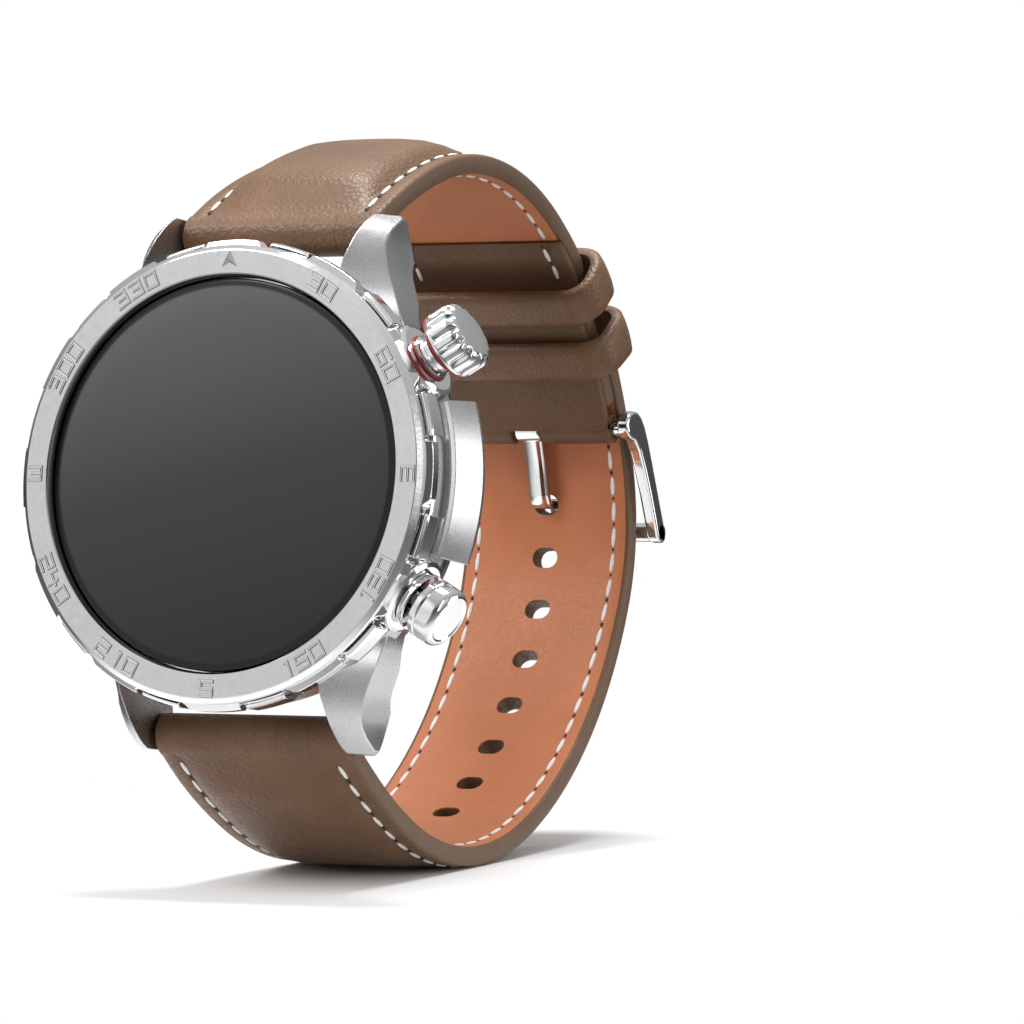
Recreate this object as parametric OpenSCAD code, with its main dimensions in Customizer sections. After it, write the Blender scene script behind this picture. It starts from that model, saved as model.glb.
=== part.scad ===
// Round smartwatch with a compass bezel, crown, push button and buckled leather strap.
// Built in the dial frame: x towards 3 o'clock, y towards 12 o'clock, z towards the wearer's eye.
// "depth" is measured from the front of the bezel towards the wrist. placed() stands the watch on its
// strap loop.

/* [Case] */
// Diameter of the bezel's front plate
bezel_d = 45.2; // [42:0.2:50]
// Diameter over the bezel's polished lands
land_d = 46.4; // [43:0.2:52]
// Diameter of the round window in the bezel
window_d = 38.8; // [34:0.2:42]
// Depth of the bezel ring
bezel_h = 2.4; // [2:0.1:3.5]
// Depth of the case from the bezel's front to its back rim
case_h = 10.6; // [9.5:0.1:14]
// Diameter of the hollow inside the case
cavity_d = 36.4; // [32:0.2:39]
// Outer diameter of the case wall
case_d = 45.4; // [42:0.2:50]
// Number of bezel lands
land_count = 12; // [6:1:24]
// Angle that one bezel land covers
land_angle = 17; // [8:0.5:18]
// Angle that one case block between two lands covers
block_angle = 11; // [6:0.5:12]
// Half angle of the guard between crown and button
guard_angle = 19; // [14:0.5:19]

/* [Glass and display] */
// Thickness of the cover glass
glass_t = 1.2; // [0.8:0.1:1.5]
// How far the glass lies below the bezel's front
glass_drop = 0.8; // [0.5:0.1:1]
// Thickness of the display panel
display_t = 0.9; // [0.6:0.1:1.2]

/* [Back] */
// Thickness of the back cover's rim
back_t = 1.2; // [1:0.1:2]
// How far the back's raised middle stands out of the rim
back_dome_h = 1.2; // [0.6:0.1:2]
// Diameter of the back's raised middle
back_dome_d = 29; // [24:0.5:32]
// Diameter of the sensor window
sensor_d = 16; // [12:0.5:20]
// Shaft diameter of a back screw
screw_d = 1.0; // [0.8:0.1:1.4]
// Head diameter of a back screw
screw_head_d = 1.8; // [1.4:0.1:2]

/* [Crown and button] */
// Angle of crown and button from the 3 o'clock line
crown_angle = 30; // [28:0.5:34]
// Depth of both axes below the bezel's front
crown_depth = 4.6; // [4.4:0.1:5.4]
// Crown knob diameter
knob_d = 7.0; // [6:0.1:7.6]
// Crown knob length
knob_h = 3.1; // [2.4:0.1:4]
// Number of flutes on the crown knob
flutes = 14; // [8:1:24]
// Button cap diameter
cap_d = 6.1; // [5:0.1:7]
// Button cap length
cap_h = 2.9; // [2:0.1:3.6]
// Travel of crown and button
press_travel = 0.4; // [0.2:0.05:0.45]
// Diameter of the crown and button stems
stem_d = 1.8; // [1.4:0.1:2]

/* [Lugs and spring bars] */
// Width between the lugs, the strap's nominal size plus play
lug_gap = 22.6; // [20.6:0.2:24.6]
// Height of the lug tips above the dial centre
lug_tip_y = 26.8; // [26:0.1:30]
// Height of the spring bar axis above the dial centre
bar_y = 25.0; // [24.6:0.1:27]
// Depth of the spring bar axis
bar_depth = 11.1; // [10.5:0.1:11.6]
// Diameter of a spring bar tube
bar_d = 1.8; // [1.5:0.1:2]
// Diameter of a spring bar's tips
tip_d = 0.84; // [0.7:0.02:1.2]

/* [Strap] */
// Strap width at the lugs
strap_w = 22; // [20:0.5:24]
// Strap width at the buckle
tail_w = 20; // [18:0.5:22]
// Thickness of the brown outer leather
leather_t = 1.1; // [0.9:0.1:1.4]
// Thickness of the tan lining
lining_t = 1.0; // [0.8:0.1:1.2]
// Height of the padding that raises the leather near the lugs
padding_h = 1.2; // [0.6:0.1:1.6]
// Width of the padded stretch
padding_w = 15; // [12:0.5:17]
// Distance between two buckle holes
hole_pitch = 6.3; // [5:0.1:7]
// Number of buckle holes
hole_count = 8; // [5:1:9]
// Length of a buckle hole across the strap
hole_w = 3.0; // [2.6:0.1:4]
// Length of a buckle hole along the strap
hole_l = 2.2; // [1.8:0.1:2.6]
// Distance between two stitches
stitch_pitch = 2.95; // [2.5:0.05:4]

/* [Keepers and buckle] */
// Width of a strap keeper along the strap
keeper_l = 5; // [4:0.25:5.5]
// Leather thickness of a keeper
keeper_t = 1.3; // [1:0.1:1.6]
// Thickness of the buckle frame's arms
arm_t = 1.4; // [1.2:0.1:2]
// Diameter of the buckle bar
buckle_bar_d = 1.5; // [1.2:0.1:1.6]
// Width of the prong
prong_w = 2.2; // [1.6:0.1:2.4]

/* [Hidden] */
$fn = 96;
eps = 0.01;
// Named clearances: sliding fits, loose seats and leather against leather.
slide_gap = 0.04;
seat_gap = 0.1;
skin_gap = 0.1;
keeper_gap = 0.35;

// ---- strap loop: outer face as tangent arcs [radius, end angle], from the back's middle up to the lug ----
// The end angles have short decimal sines and cosines, so neighbouring arcs meet exactly.
loop_arcs = [[24, atan2(0.28, 0.96)], [44, atan2(0.8, 0.6)], [33.4, atan2(0.936, -0.352)],
  [54.2, atan2(0.8, -0.6)]];
loop_back = 71.85;
function n(a) = [cos(a), sin(a)];
function arc_start(i) = i == 0 ? 0 : loop_arcs[i - 1][1];
function arc_centre(i) = i == 0 ? [loop_back - loop_arcs[0][0], 0]
  : arc_centre(i - 1) + (loop_arcs[i - 1][0] - loop_arcs[i][0]) * n(arc_start(i));
function loop_index(a) = a <= loop_arcs[0][1] ? 0 : a <= loop_arcs[1][1] ? 1 : a <= loop_arcs[2][1] ? 2 : 3;
// Point on the outer face at normal angle a, moved out by off; a below 0 is the lower half of the loop.
function loop_point(a, off = 0) = a < 0 ? [loop_point(-a, off)[0], -loop_point(-a, off)[1]]
  : arc_centre(loop_index(a)) + (loop_arcs[loop_index(a)][0] + off) * n(a);
// Normal angle after walking the length s along the outer face from the back's middle.
function arc_len(i) = loop_arcs[i][0] * (loop_arcs[i][1] - arc_start(i)) * PI / 180;
function angle_at(s, i = 0) = s < 0 ? -angle_at(-s)
  : i == 3 || s <= arc_len(i) ? arc_start(i) + s / loop_arcs[i][0] * 180 / PI : angle_at(s - arc_len(i),
    i + 1);
lug_angle = loop_arcs[3][1];
strap_t = leather_t + lining_t;
flap_t = 1.0;

// ---- overlap of the two straps at the back: circles about the second arc's centre ----
hub = arc_centre(1);
hub_r = loop_arcs[1][0];
inner_r = hub_r - strap_t - skin_gap;
tail_end = 42;
keeper1_angle = 48.8;
keeper2_angle = 38.9;
buckle_angle = 25.5;
flap_end = 60;
// Bend that takes the upper strap under the tail: it starts where two arcs meet and is over at bend_low.
bend_top = loop_arcs[1][1];
bend_low = tail_end + 1.5;
bend_end = atan2(0.6, 0.8);
bend_steps = 24;
function ease(t) = t <= 0 ? 0 : t >= 1 ? 1 : t * t * (3 - 2 * t);
function bend_angle(i) = bend_top + (bend_end - bend_top) * i / bend_steps;
function bend_point(i, off) = hub + (hub_r + off - (hub_r - inner_r)
  * ease((bend_top - bend_angle(i)) / (bend_top - bend_low))) * n(bend_angle(i));

// ---- radii and depths that several pieces share ----
case_r = case_d / 2;
cavity_r = cavity_d / 2;
window_r = window_d / 2;
bezel_r = bezel_d / 2;
land_r = land_d / 2;
glass_bottom = glass_drop + glass_t;
crown_face = land_r + 0.1;
crown_foot = crown_face + 1.9;
knob_r = knob_d / 2;
neck_r = 1.9;
collar_r = 2.3;
stem_r = stem_d / 2;
stem_inner = cavity_r - 1.9;
cap_foot = crown_face + 0.95;
cap_r = cap_d / 2;
back_face = case_h + back_t + back_dome_h;
screw_ring = cavity_r + 1.8;
chassis_top = glass_bottom + display_t + 0.35;
board_top = 6.9;
board_t = 0.8;
module_s = stem_inner - 2.9;
roll_r = strap_t + skin_gap;
bar_half = strap_w / 2 - 0.9;
pin_reach = lug_gap / 2 + 1.4;
fold_r = (strap_t + flap_t) / 2;
bar_pos = hub + (inner_r - fold_r) * n(buckle_angle);
buckle_half = tail_w / 2 + 0.8;
cross_pos = [loop_back + 1.35, 1.5];
cross_r = 1.0;

// ---- placing: the dial frame is turned upright, then set on its lowest point ----
loop_top = loop_point(90, padding_h)[1];
min_x = -land_r;
max_x = (crown_foot + 0.35 + knob_h) * cos(crown_angle) + (knob_r - 0.55) * sin(crown_angle);
max_depth = cross_pos[0] + cross_r;
module placed() translate([-(min_x + max_x) / 2, -max_depth / 2, loop_top]) rotate([90, 0, 0]) children();

// ---- shape helpers, all in the dial frame ----
module disc(r, d0, d1) translate([0, 0, -d1]) cylinder(r = r, h = d1 - d0);
module tube(ro, ri, d0, d1) difference() {
  disc(ro, d0, d1);
  disc(ri, d0 - 1, d1 + 1);
}
module slab(d0, d1) translate([0, 0, -d1]) linear_extrude(d1 - d0) children();
module block(x0, x1, y0, y1, d0, d1) translate([x0, y0, -d1]) cube([x1 - x0, y1 - y0, d1 - d0]);
// Ring stretch about the watch axis, from a polygon of [radius, -depth] points.
module ring_part(a, width, points) rotate([0, 0, a - width / 2]) rotate_extrude(angle = width) polygon(points);
// Child drawn along +z is laid along a radial axis at angle a and the given depth.
module radial(a, depth) rotate([0, 0, a]) translate([0, 0, -depth]) rotate([0, 90, 0]) children();
module rod(r, s0, s1) translate([0, 0, s0]) cylinder(r = r, h = s1 - s0);
module sleeve(ro, ri, s0, s1) difference() {
  rod(ro, s0, s1);
  rod(ri, s0 - 1, s1 + 1);
}
// Side plane: its x is depth, its y is the dial's y and its z is the dial's x.
module side() rotate([0, 90, 0]) children();
module across(half) translate([0, 0, -half]) linear_extrude(2 * half) children();
module pin_x(p, r, x0, x1) side() translate([p[0], p[1], x0]) cylinder(r = r, h = x1 - x0);
// Curved sheet between radii r0 < r1 about c, from angle a0 up to a1, of half width half.
module sheet(c, r0, r1, a0, a1, half) side() intersection() {
  translate([c[0], c[1], -half]) difference() {
    cylinder(r = r1, h = 2 * half);
    translate([0, 0, -1]) cylinder(r = r0, h = 2 * half + 2);
  }
  translate([0, 0, -half - 1]) linear_extrude(2 * half + 2)
    polygon([c, c + 100 * n(a0), c + 120 * n((a0 + a1) / 2), c + 100 * n(a1)]);
}
// The bend of the upper strap, between offsets o0 and o1 from its outer face.
module bend_sheet(o0, o1, half) side() across(half) polygon([
  for (i = [0:bend_steps]) bend_point(i, o1), for (i = [bend_steps:-1:0]) bend_point(i, o0)]);
// Stretch of the loop between angles a0 < a1 (both of one sign), between offsets o0 and o1 from the
// outer face.
module loop_band(a0, a1, o0, o1, half) for (i = [0:3])
  if (max(a0, arc_start(i)) < min(a1, loop_arcs[i][1]))
    sheet(arc_centre(i), loop_arcs[i][0] + o0, loop_arcs[i][0] + o1,
          max(a0, arc_start(i)), min(a1, loop_arcs[i][1]), half);
// Half width of the strap in plan: full at the lugs, narrower from the padding's end to the back.
module taper() rotate([90, 0, 0]) translate([0, 0, -60]) linear_extrude(120) polygon([
  [-strap_w / 2, 0], [-strap_w / 2, -14], [-tail_w / 2, -52], [-tail_w / 2, -80],
  [tail_w / 2, -80], [tail_w / 2, -52], [strap_w / 2, -14], [strap_w / 2, 0]]);
module rounded(w, h, r) {
  square([w - 2 * r, h], center = true);
  square([w, h - 2 * r], center = true);
  for (x = [-1, 1], y = [-1, 1]) translate([x * (w / 2 - r), y * (h / 2 - r)]) circle(r);
}
module stadium(w, l) {
  square([w - l, l], center = true);
  for (x = [-1, 1]) translate([x * (w - l) / 2, 0]) circle(d = l, $fn = 32);
}

// ---- case ----
lug_side = [[1.6, 12], [1.6, 18.5], [2.0, 21], [3.5, 22.7], [4.6, 24.1], [5.9, 25.2], [7.1, 26.0],
  [8.3, lug_tip_y - 0.2], [10.6, lug_tip_y], [12.4, lug_tip_y - 0.7], [13.1, lug_tip_y - 2.4],
  [12.9, 22.8], [12.3, 22.3], [12.2, 21.0], [12.5, 19.6], [case_h, 17], [case_h, 12]];
lug_inner = lug_gap / 2;
lug_plan = [[lug_inner, 12], [lug_inner, 30], [13.1, 30], [13.1, 25.6], [13.6, 23.4], [14.5, 21.2],
  [16.2, 19.0], [18.4, 17.2], [18.4, 12]];
module lug() difference() {
  intersection() {
    side() translate([0, 0, lug_inner]) linear_extrude(8) polygon(lug_side);
    slab(0, 20) polygon(lug_plan);
  }
  // Slanted outer front of the lug.
  translate([lug_inner, 22.7, -3.5]) rotate([-42, 0, 0]) rotate([0, 52, 0]) translate([-4, -12, 0])
    cube([16, 24, 12]);
  disc(cavity_r + 1, -1, 20);
  // Room for the bezel in front and for the back cover behind.
  disc(land_r + seat_gap, -1, bezel_h);
  disc(case_r - 1.3 + seat_gap, case_h, 20);
  pin_x([bar_depth, bar_y], tip_d / 2 + slide_gap, lug_inner - 1, pin_reach + 0.2);
}
module case_frame() color("silver") difference() {
  union() {
    rotate_extrude() polygon([[cavity_r, -bezel_h], [case_r - 0.4, -bezel_h], [case_r, -bezel_h - 0.4],
      [case_r, -5.2], [case_r - 0.5, -5.7], [case_r - 0.5, -8.6], [case_r - 1.3, -case_h],
      [cavity_r, -case_h]]);
    for (i = [0:land_count - 1]) ring_part((i + 0.5) * 360 / land_count, block_angle, [
      [bezel_r - 0.1, -1.5], [bezel_r + 0.3, -1.2], [land_r, -1.7], [land_r, -3.9], [case_r - 1, -4.6],
      [case_r - 1, -bezel_h - 0.2], [bezel_r - 0.1, -bezel_h - 0.2]]);
    ring_part(0, 2 * guard_angle, [[cavity_r + 1, -5.2], [case_r + 0.9, -5.2], [case_r + 1.9, -9.2],
      [case_r + 1.2, -10.2], [cavity_r + 1, -10.2]]);
    for (sx = [0, 1], sy = [0, 1]) mirror([sx, 0, 0]) mirror([0, sy, 0]) lug();
  }
  // Seats and bores of crown and button.
  for (s = [-1, 1]) radial(s * crown_angle, crown_depth) {
    rod(4.2, crown_face, 40);
    rod(neck_r + slide_gap, 0, crown_face + 1);
  }
  // Groove of the back gasket and the four screw holes.
  tube(cavity_r + 0.9, cavity_r + 0.3, case_h - 0.4, case_h + 1);
  for (i = [0:3]) rotate([0, 0, 45 + 90 * i]) translate([screw_ring, 0, 0]) disc(screw_d / 2 + 0.02,
    case_h - 2.2, case_h + 1);
}
module bezel_ring() color("lightgray") difference() {
  rotate_extrude() polygon([[window_r, -glass_drop], [window_r + 0.6, 0], [bezel_r - 0.5, 0], [bezel_r, -0.5],
    [land_r, -1.2], [land_r, -bezel_h], [window_r, -bezel_h]]);
  for (i = [0:land_count - 1]) ring_part((i + 0.5) * 360 / land_count, 360 / land_count - land_angle, [
    [bezel_r - 0.02, 1], [land_r + 1, 1], [land_r + 1, -bezel_h - 1], [bezel_r - 0.4, -bezel_h - 1],
    [bezel_r - 0.4, -1.1], [bezel_r - 0.02, -0.9]]);
}

// ---- glass, display and the stack inside ----
module cover_glass() color("black") disc(window_r - seat_gap, glass_drop, glass_bottom);
module glass_gasket() color("dimgray") tube(window_r - seat_gap, cavity_r + 0.1, glass_bottom, bezel_h);
module display_panel() color("darkslategray") disc(cavity_r - 0.5, glass_bottom + 0.05,
  glass_bottom + display_t);
module crown_windows(margin) for (s = [-1, 1]) rotate([0, 0, s * crown_angle])
  block(module_s - 1.3 - margin, 30, -2.4 - margin, 2.4 + margin, 1, 6.7 + margin);
module inner_chassis() color("gray") difference() {
  union() {
    disc(cavity_r - 0.4, chassis_top, chassis_top + 0.6);
    tube(cavity_r - 0.4, cavity_r - 1.2, chassis_top, board_top);
  }
  crown_windows(0.3);
  block(-5, 5, -cavity_r, -cavity_r + 2, 1, 12);
  ring_part(180, 130, [[cavity_r - 0.7, -4], [cavity_r + 1, -4], [cavity_r + 1, -12], [cavity_r - 0.7, -12]]);
}
module display_flex() color("darkorange") block(-4, 4, -cavity_r + 1.2, -cavity_r + 1.5,
  glass_bottom + display_t, board_top);
module battery() color("slategray") block(-13, 7.5, -10.5, 10.5, chassis_top + 0.8, board_top - 0.2);
module main_board() color("darkgreen") difference() {
  disc(cavity_r - 0.5, board_top, board_top + board_t);
  ring_part(180, 130, [[cavity_r - 0.9, -4], [cavity_r + 1, -4], [cavity_r + 1, -12], [cavity_r - 0.9, -12]]);
}
board_back = board_top + board_t;
module shield_can() color("silver") difference() {
  block(-11, -1, 3, 12, board_back, board_back + 1.6);
  block(-10.8, -1.2, 3.2, 11.8, board_back - 1, board_back + 1.4);
}
module vibration_motor() color("lightgray") block(3.6, 11.6, -12.4, -8.6, board_back, board_back + 2.2);
module antenna_strip() color("peru") ring_part(180, 120, [[cavity_r - 0.6, -4.3], [cavity_r - 0.4, -4.3],
  [cavity_r - 0.4, -9.3], [cavity_r - 0.6, -9.3]]);
module heart_rate_module() color("darkgreen") {
  disc(sensor_d / 2 - 0.5, case_h - 0.9, case_h - 0.1);
  for (a = [0:90:270]) rotate([0, 0, a]) block(2.5, 4.5, -1, 1, case_h - 0.1, case_h + 0.6);
}

// ---- back ----
module back_gasket() color("black") tube(cavity_r + 0.85, cavity_r + 0.35, case_h - 0.4, case_h);
module contact_spots() for (x = [-2, 2]) translate([x, -11.5, 0]) children();
module back_cover() color("dimgray") difference() {
  union() {
    disc(case_r - 1.3, case_h, case_h + back_t - 0.4);
    disc(case_r - 1.6, case_h, case_h + back_t);
    disc(back_dome_d / 2, case_h, back_face - 0.4);
    disc(back_dome_d / 2 - 0.5, case_h, back_face);
  }
  disc(sensor_d / 2 - 0.9, case_h - 1, 40);
  disc(sensor_d / 2, back_face - 1.0, 40);
  disc(back_dome_d / 2 - 2.5, case_h - 1, case_h + 0.7);
  contact_spots() disc(0.8 + slide_gap, case_h - 1, 40);
  for (i = [0:3]) rotate([0, 0, 45 + 90 * i]) translate([screw_ring, 0, 0]) {
    disc(screw_d / 2 + seat_gap, case_h - 1, 40);
    disc(screw_head_d / 2 + seat_gap, case_h + back_t - 0.6, 40);
  }
}
module sensor_window() color("midnightblue") disc(sensor_d / 2 - 0.05, back_face - 1.0, back_face);
module charging_contacts() color("gold") contact_spots() {
  disc(0.8, case_h - 0.6, back_face - 0.1);
  disc(0.4, board_back + 1.8, case_h - 0.6);
}
module back_screws() color("silver") for (i = [0:3]) rotate([0, 0, 45 + 90 * i]) translate([screw_ring, 0,
  0]) {
  disc(screw_d / 2, case_h - 2, case_h + back_t - 0.6);
  difference() {
    disc(screw_head_d / 2, case_h + back_t - 0.6, case_h + back_t - 0.1);
    for (a = [0, 90]) rotate([0, 0, a]) block(-0.6, 0.6, -0.12, 0.12, case_h + back_t - 0.3,
      case_h + back_t + 1);
  }
}

// ---- crown: s is the distance from the watch axis ----
module at_crown() radial(crown_angle, crown_depth) children();
knob_foot = crown_foot + 0.35;
knob_end = knob_foot + knob_h;
collar_inner = cavity_r + 0.5;
module crown_collar() color("silver") at_crown() difference() {
  union() {
    rod(neck_r, collar_inner, crown_foot - 0.3);
    rod(collar_r, crown_face + 0.02, crown_foot - 0.3);
  }
  rod(stem_r + 0.3, 0, 40);
}
module crown_collar_ring() color("red") at_crown() sleeve(2.9, collar_r + 0.02, crown_face + 0.02,
  crown_face + 0.37);
module crown_knob() color("silver") at_crown() difference() {
  rotate_extrude() polygon([[0, knob_foot + 1.4], [collar_r + 0.25, knob_foot + 1.4],
    [collar_r + 0.25, knob_foot], [knob_r, knob_foot], [knob_r, knob_end - 0.7], [knob_r - 0.55, knob_end], [0, knob_end]]);
  for (i = [0:flutes - 1]) rotate([0, 0, i * 360 / flutes]) translate([knob_r + 0.15, 0, 0]) rod(0.5,
    knob_foot + 0.3, 60);
  rod(stem_r - 0.1, 0, knob_end - 0.8);
}
module crown_knob_ring() color("red") at_crown() sleeve(knob_r + 0.03, collar_r + 0.25, knob_foot - 0.35,
  knob_foot);
module crown_stem() color("gray") at_crown() difference() {
  union() {
    rod(stem_r, stem_inner + 0.22, knob_foot + 1.4);
    rod(stem_r - 0.1, knob_foot + 1.4, knob_end - 0.8);
    rod(stem_r + 0.35, stem_inner + 0.7, stem_inner + 0.95);
  }
  sleeve(stem_r + 1, stem_r - 0.2, collar_inner + 2, collar_inner + 2.5);
}
module oring() rotate_extrude() translate([stem_r + 0.03, collar_inner + 2.25]) circle(0.22, $fn = 32);
module crown_oring() color("black") at_crown() oring();
module crown_magnet() color("dimgray") at_crown() sleeve(stem_r + 0.45, stem_r, stem_inner + 0.95,
  stem_inner + 1.5);
module crown_push_plate() color("gray") at_crown() difference() {
  translate([-1.5, -2, stem_inner]) cube([3, 4, 0.65]);
  rod(stem_r + slide_gap, stem_inner + 0.2, stem_inner + 2);
}
module crown_sensor() color("black") at_crown() translate([1.6, -1, stem_inner + 0.9]) cube([0.35, 2, 0.8]);
// Bracket under a switch, and the switch that the stem or plate presses; gap is the free way to full travel.
module bracket() translate([1.98, -2.2, module_s - 1.2]) cube([0.28, 4.4, stem_inner - module_s + 2.7]);
module switch_body(tip) {
  translate([-1.2, -2, module_s - 0.9]) cube([3.15, 4, 1.6]);
  rod(0.7, module_s + 0.7, tip);
}
module crown_bracket() color("silver") at_crown() bracket();
module crown_switch() color("black") at_crown() switch_body(stem_inner - press_travel - 0.03);

// ---- button ----
module at_button() radial(-crown_angle, crown_depth) children();
cap_base = cap_foot + press_travel + 0.15;
cap_end = cap_base + cap_h;
module button_collar() color("silver") at_button() difference() {
  union() {
    rod(neck_r, collar_inner, cap_foot);
    rod(cap_r - 0.2, crown_face + 0.02, crown_face + 0.5);
    rod(cap_r - 0.05, crown_face + 0.5, cap_foot);
  }
  rod(stem_r + 0.3, 0, 40);
}
module button_cap() color("silver") at_button() difference() {
  rotate_extrude() polygon([[0, cap_base], [cap_r, cap_base], [cap_r, cap_base + 0.75],
    [cap_r - 0.12, cap_base + 0.8], [cap_r - 0.12, cap_base + 0.95], [cap_r, cap_base + 1.0],
    [cap_r, cap_end - 0.6], [cap_r - 0.14, cap_end - 0.25],
    [cap_r - 0.42, cap_end], [0, cap_end]]);
  rod(stem_r - 0.1, 0, cap_end - 1);
}
module button_stem() color("gray") at_button() difference() {
  union() {
    rod(stem_r, stem_inner, cap_base);
    rod(stem_r - 0.1, cap_base, cap_end - 1);
  }
  sleeve(stem_r + 1, stem_r - 0.2, collar_inner + 2, collar_inner + 2.5);
  sleeve(stem_r + 1, stem_r - 0.3, collar_inner - 0.4, collar_inner - 0.1);
}
module button_oring() color("black") at_button() oring();
module button_clip() color("silver") at_button() difference() {
  sleeve(stem_r + 0.7, stem_r - 0.28, collar_inner - 0.38, collar_inner - 0.12);
  translate([-0.5, 0, 0]) cube([1, 4, 40]);
}
module button_bracket() color("silver") at_button() bracket();
module button_switch() color("black") at_button() switch_body(stem_inner - press_travel - 0.03);

// ---- spring bars: half = 0 upper, 1 lower ----
module bar(half) mirror([0, half, 0]) children();
bar_p = [bar_depth, bar_y];
tip_r = tip_d / 2;
shank_r = bar_d / 2 - 0.3;
module bar_tube(half) color("silver") bar(half) difference() {
  union() {
    pin_x(bar_p, bar_d / 2, -bar_half, bar_half);
    pin_x(bar_p, tip_r, -pin_reach, -bar_half);
  }
  pin_x(bar_p, shank_r + slide_gap, -bar_half + 3, bar_half + 1);
  // Slot for the lever.
  block(3.2, 6, bar_y - 0.45, bar_y + 0.45, bar_depth, bar_depth + 2);
}
module release_pin(half) color("silver") bar(half) {
  pin_x(bar_p, shank_r, 2, bar_half);
  pin_x(bar_p, tip_r, bar_half, pin_reach);
  block(4.8, 5.6, bar_y - 0.35, bar_y + 0.35, bar_depth, bar_depth + 2.6);
}
module bar_spring(half) color("dimgray") bar(half) difference() {
  pin_x(bar_p, shank_r - 0.02, -bar_half + 3, 0.4);
  pin_x(bar_p, shank_r - 0.25, -bar_half + 2, 2);
}

// ---- straps ----
// Half width of the loop's blanks before the taper trims them.
blank = strap_w / 2 + 1;
roll_c = bar_p;
module roll_bore(half_w) {
  pin_x(roll_c, bar_d / 2 + seat_gap, -half_w, half_w);
  // Opening for the quick-release lever on the wrist side.
  block(3, 6.4, bar_y - 1.0, bar_y + 1.0, bar_depth, bar_depth + 4);
}
pad_low = 78;
pad_high = 124;
pad_half = padding_w / 2;
module leather_end() {
  intersection() {
    union() {
      loop_band(bend_top, lug_angle, -leather_t, 0, blank);
      loop_band(pad_low, pad_high + 0.8, -eps, 0.5 * padding_h, pad_half + 0.4);
      loop_band(pad_low + 10, pad_high + 0.4, -eps, padding_h, pad_half + 0.1);
    }
    taper();
  }
  pin_x(roll_c, roll_r + 0.05, -strap_w / 2, strap_w / 2);
}
// The hollow under the raised leather, which the padding fills.
module padding_shape() loop_band(pad_low + 12, pad_high, -leather_t + 0.3, padding_h - 0.7, pad_half - 0.5);
module lining_end(to) intersection() {
  difference() {
    loop_band(to, lug_angle - 1, -strap_t, -leather_t, blank);
    pin_x(roll_c, roll_r + 0.07, -blank, blank);
  }
  taper();
}
// Upper strap: on the loop, through the S-bend, then on the circle inside the tail, between offsets o0 and o1.
module upper_run(o0, o1, half, end) {
  bend_sheet(o0, o1, half);
  sheet(hub, inner_r + o0, inner_r + o1, end, bend_end, half);
}
module upper_leather() color("saddlebrown") difference() {
  union() {
    leather_end();
    upper_run(-leather_t, 0, tail_w / 2, buckle_angle + 4);
  }
  roll_bore(strap_w);
  padding_shape();
}
module upper_lining() color("peru") {
  lining_end(bend_top);
  upper_run(-strap_t, -leather_t, tail_w / 2, buckle_angle + 4);
}
module upper_padding() color("tan") padding_shape();
module prong_window(half_w) side() translate([bar_pos[0], bar_pos[1], -half_w])
  rotate([0, 0, buckle_angle]) translate([-6, -2.2, 0]) cube([9, 4.4, 2 * half_w]);
module buckle_flap() color("saddlebrown") difference() {
  union() {
    loop_band(bend_top, flap_end, -strap_t - flap_t, -strap_t, tail_w / 2);
    bend_sheet(-strap_t - flap_t, -strap_t, tail_w / 2);
    sheet(hub, inner_r - strap_t - flap_t, inner_r - strap_t, buckle_angle, bend_end, tail_w / 2);
    sheet(hub, inner_r - strap_t - flap_t / 2, inner_r, buckle_angle, buckle_angle + 3.9, tail_w / 2);
    pin_x(bar_pos, fold_r, -tail_w / 2, tail_w / 2);
  }
  pin_x(bar_pos, buckle_bar_d / 2 + 0.06, -tail_w, tail_w);
  prong_window(prong_w / 2 + 0.6);
}

// Rounded tip of the tail: a round nose wider than the strap, with everything below its middle kept.
nose_r = 12;
nose_angle = tail_end - nose_r / hub_r * 180 / PI;
module tail_trim() side() translate([hub[0], hub[1], 0]) rotate([0, 0, nose_angle]) {
  rotate([0, 90, 0]) cylinder(r = nose_r, h = 60);
  translate([-60, -120, -20]) cube([140, 120, 40]);
}
module tail_band(o0, o1) intersection() {
  loop_band(0, tail_end, o0, o1, blank);
  taper();
  tail_trim();
}
// Lower strap: from its lug round the back to the tail's tip.
tail_s = arc_len(0) + hub_r * (tail_end - arc_start(1)) * PI / 180;
first_hole = 4.5;
module hole_cut(s) side() translate([loop_point(angle_at(s))[0], loop_point(angle_at(s))[1], 0])
  rotate([0, 0, angle_at(s)]) translate([-4, 0, 0]) rotate([0, 90, 0]) linear_extrude(8) stadium(hole_w,
    hole_l);
module holes() for (i = [0:hole_count - 1]) hole_cut(first_hole - i * hole_pitch);
module lower() mirror([0, 1, 0]) children();
module lower_leather() color("saddlebrown") difference() {
  union() {
    lower() leather_end();
    lower() intersection() {
      loop_band(0, bend_top, -leather_t, 0, blank);
      taper();
    }
    tail_band(-leather_t, 0);
  }
  lower() roll_bore(strap_w);
  lower() padding_shape();
  holes();
}
module lower_lining() color("peru") difference() {
  union() {
    lower() lining_end(0);
    tail_band(-strap_t, -leather_t);
  }
  holes();
}
module lower_padding() color("tan") lower() padding_shape();

// ---- stitching: short bars of thread lying on the leather ----
thread_w = 0.5;
thread_t = 0.22;
thread_l = 2.0;
edge_margin = 2.0;
function half_at(p) = p[0] < 14 ? strap_w / 2 : p[0] > 52 ? tail_w / 2
  : strap_w / 2 - (strap_w - tail_w) / 2 * (p[0] - 14) / 38;
module stitch(p, a, x, out) side() translate([p[0], p[1], x]) rotate([0, 0, a])
  translate([out ? 0 : -thread_t, -thread_l / 2, -thread_w / 2]) cube([thread_t, thread_l, thread_w]);
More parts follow.
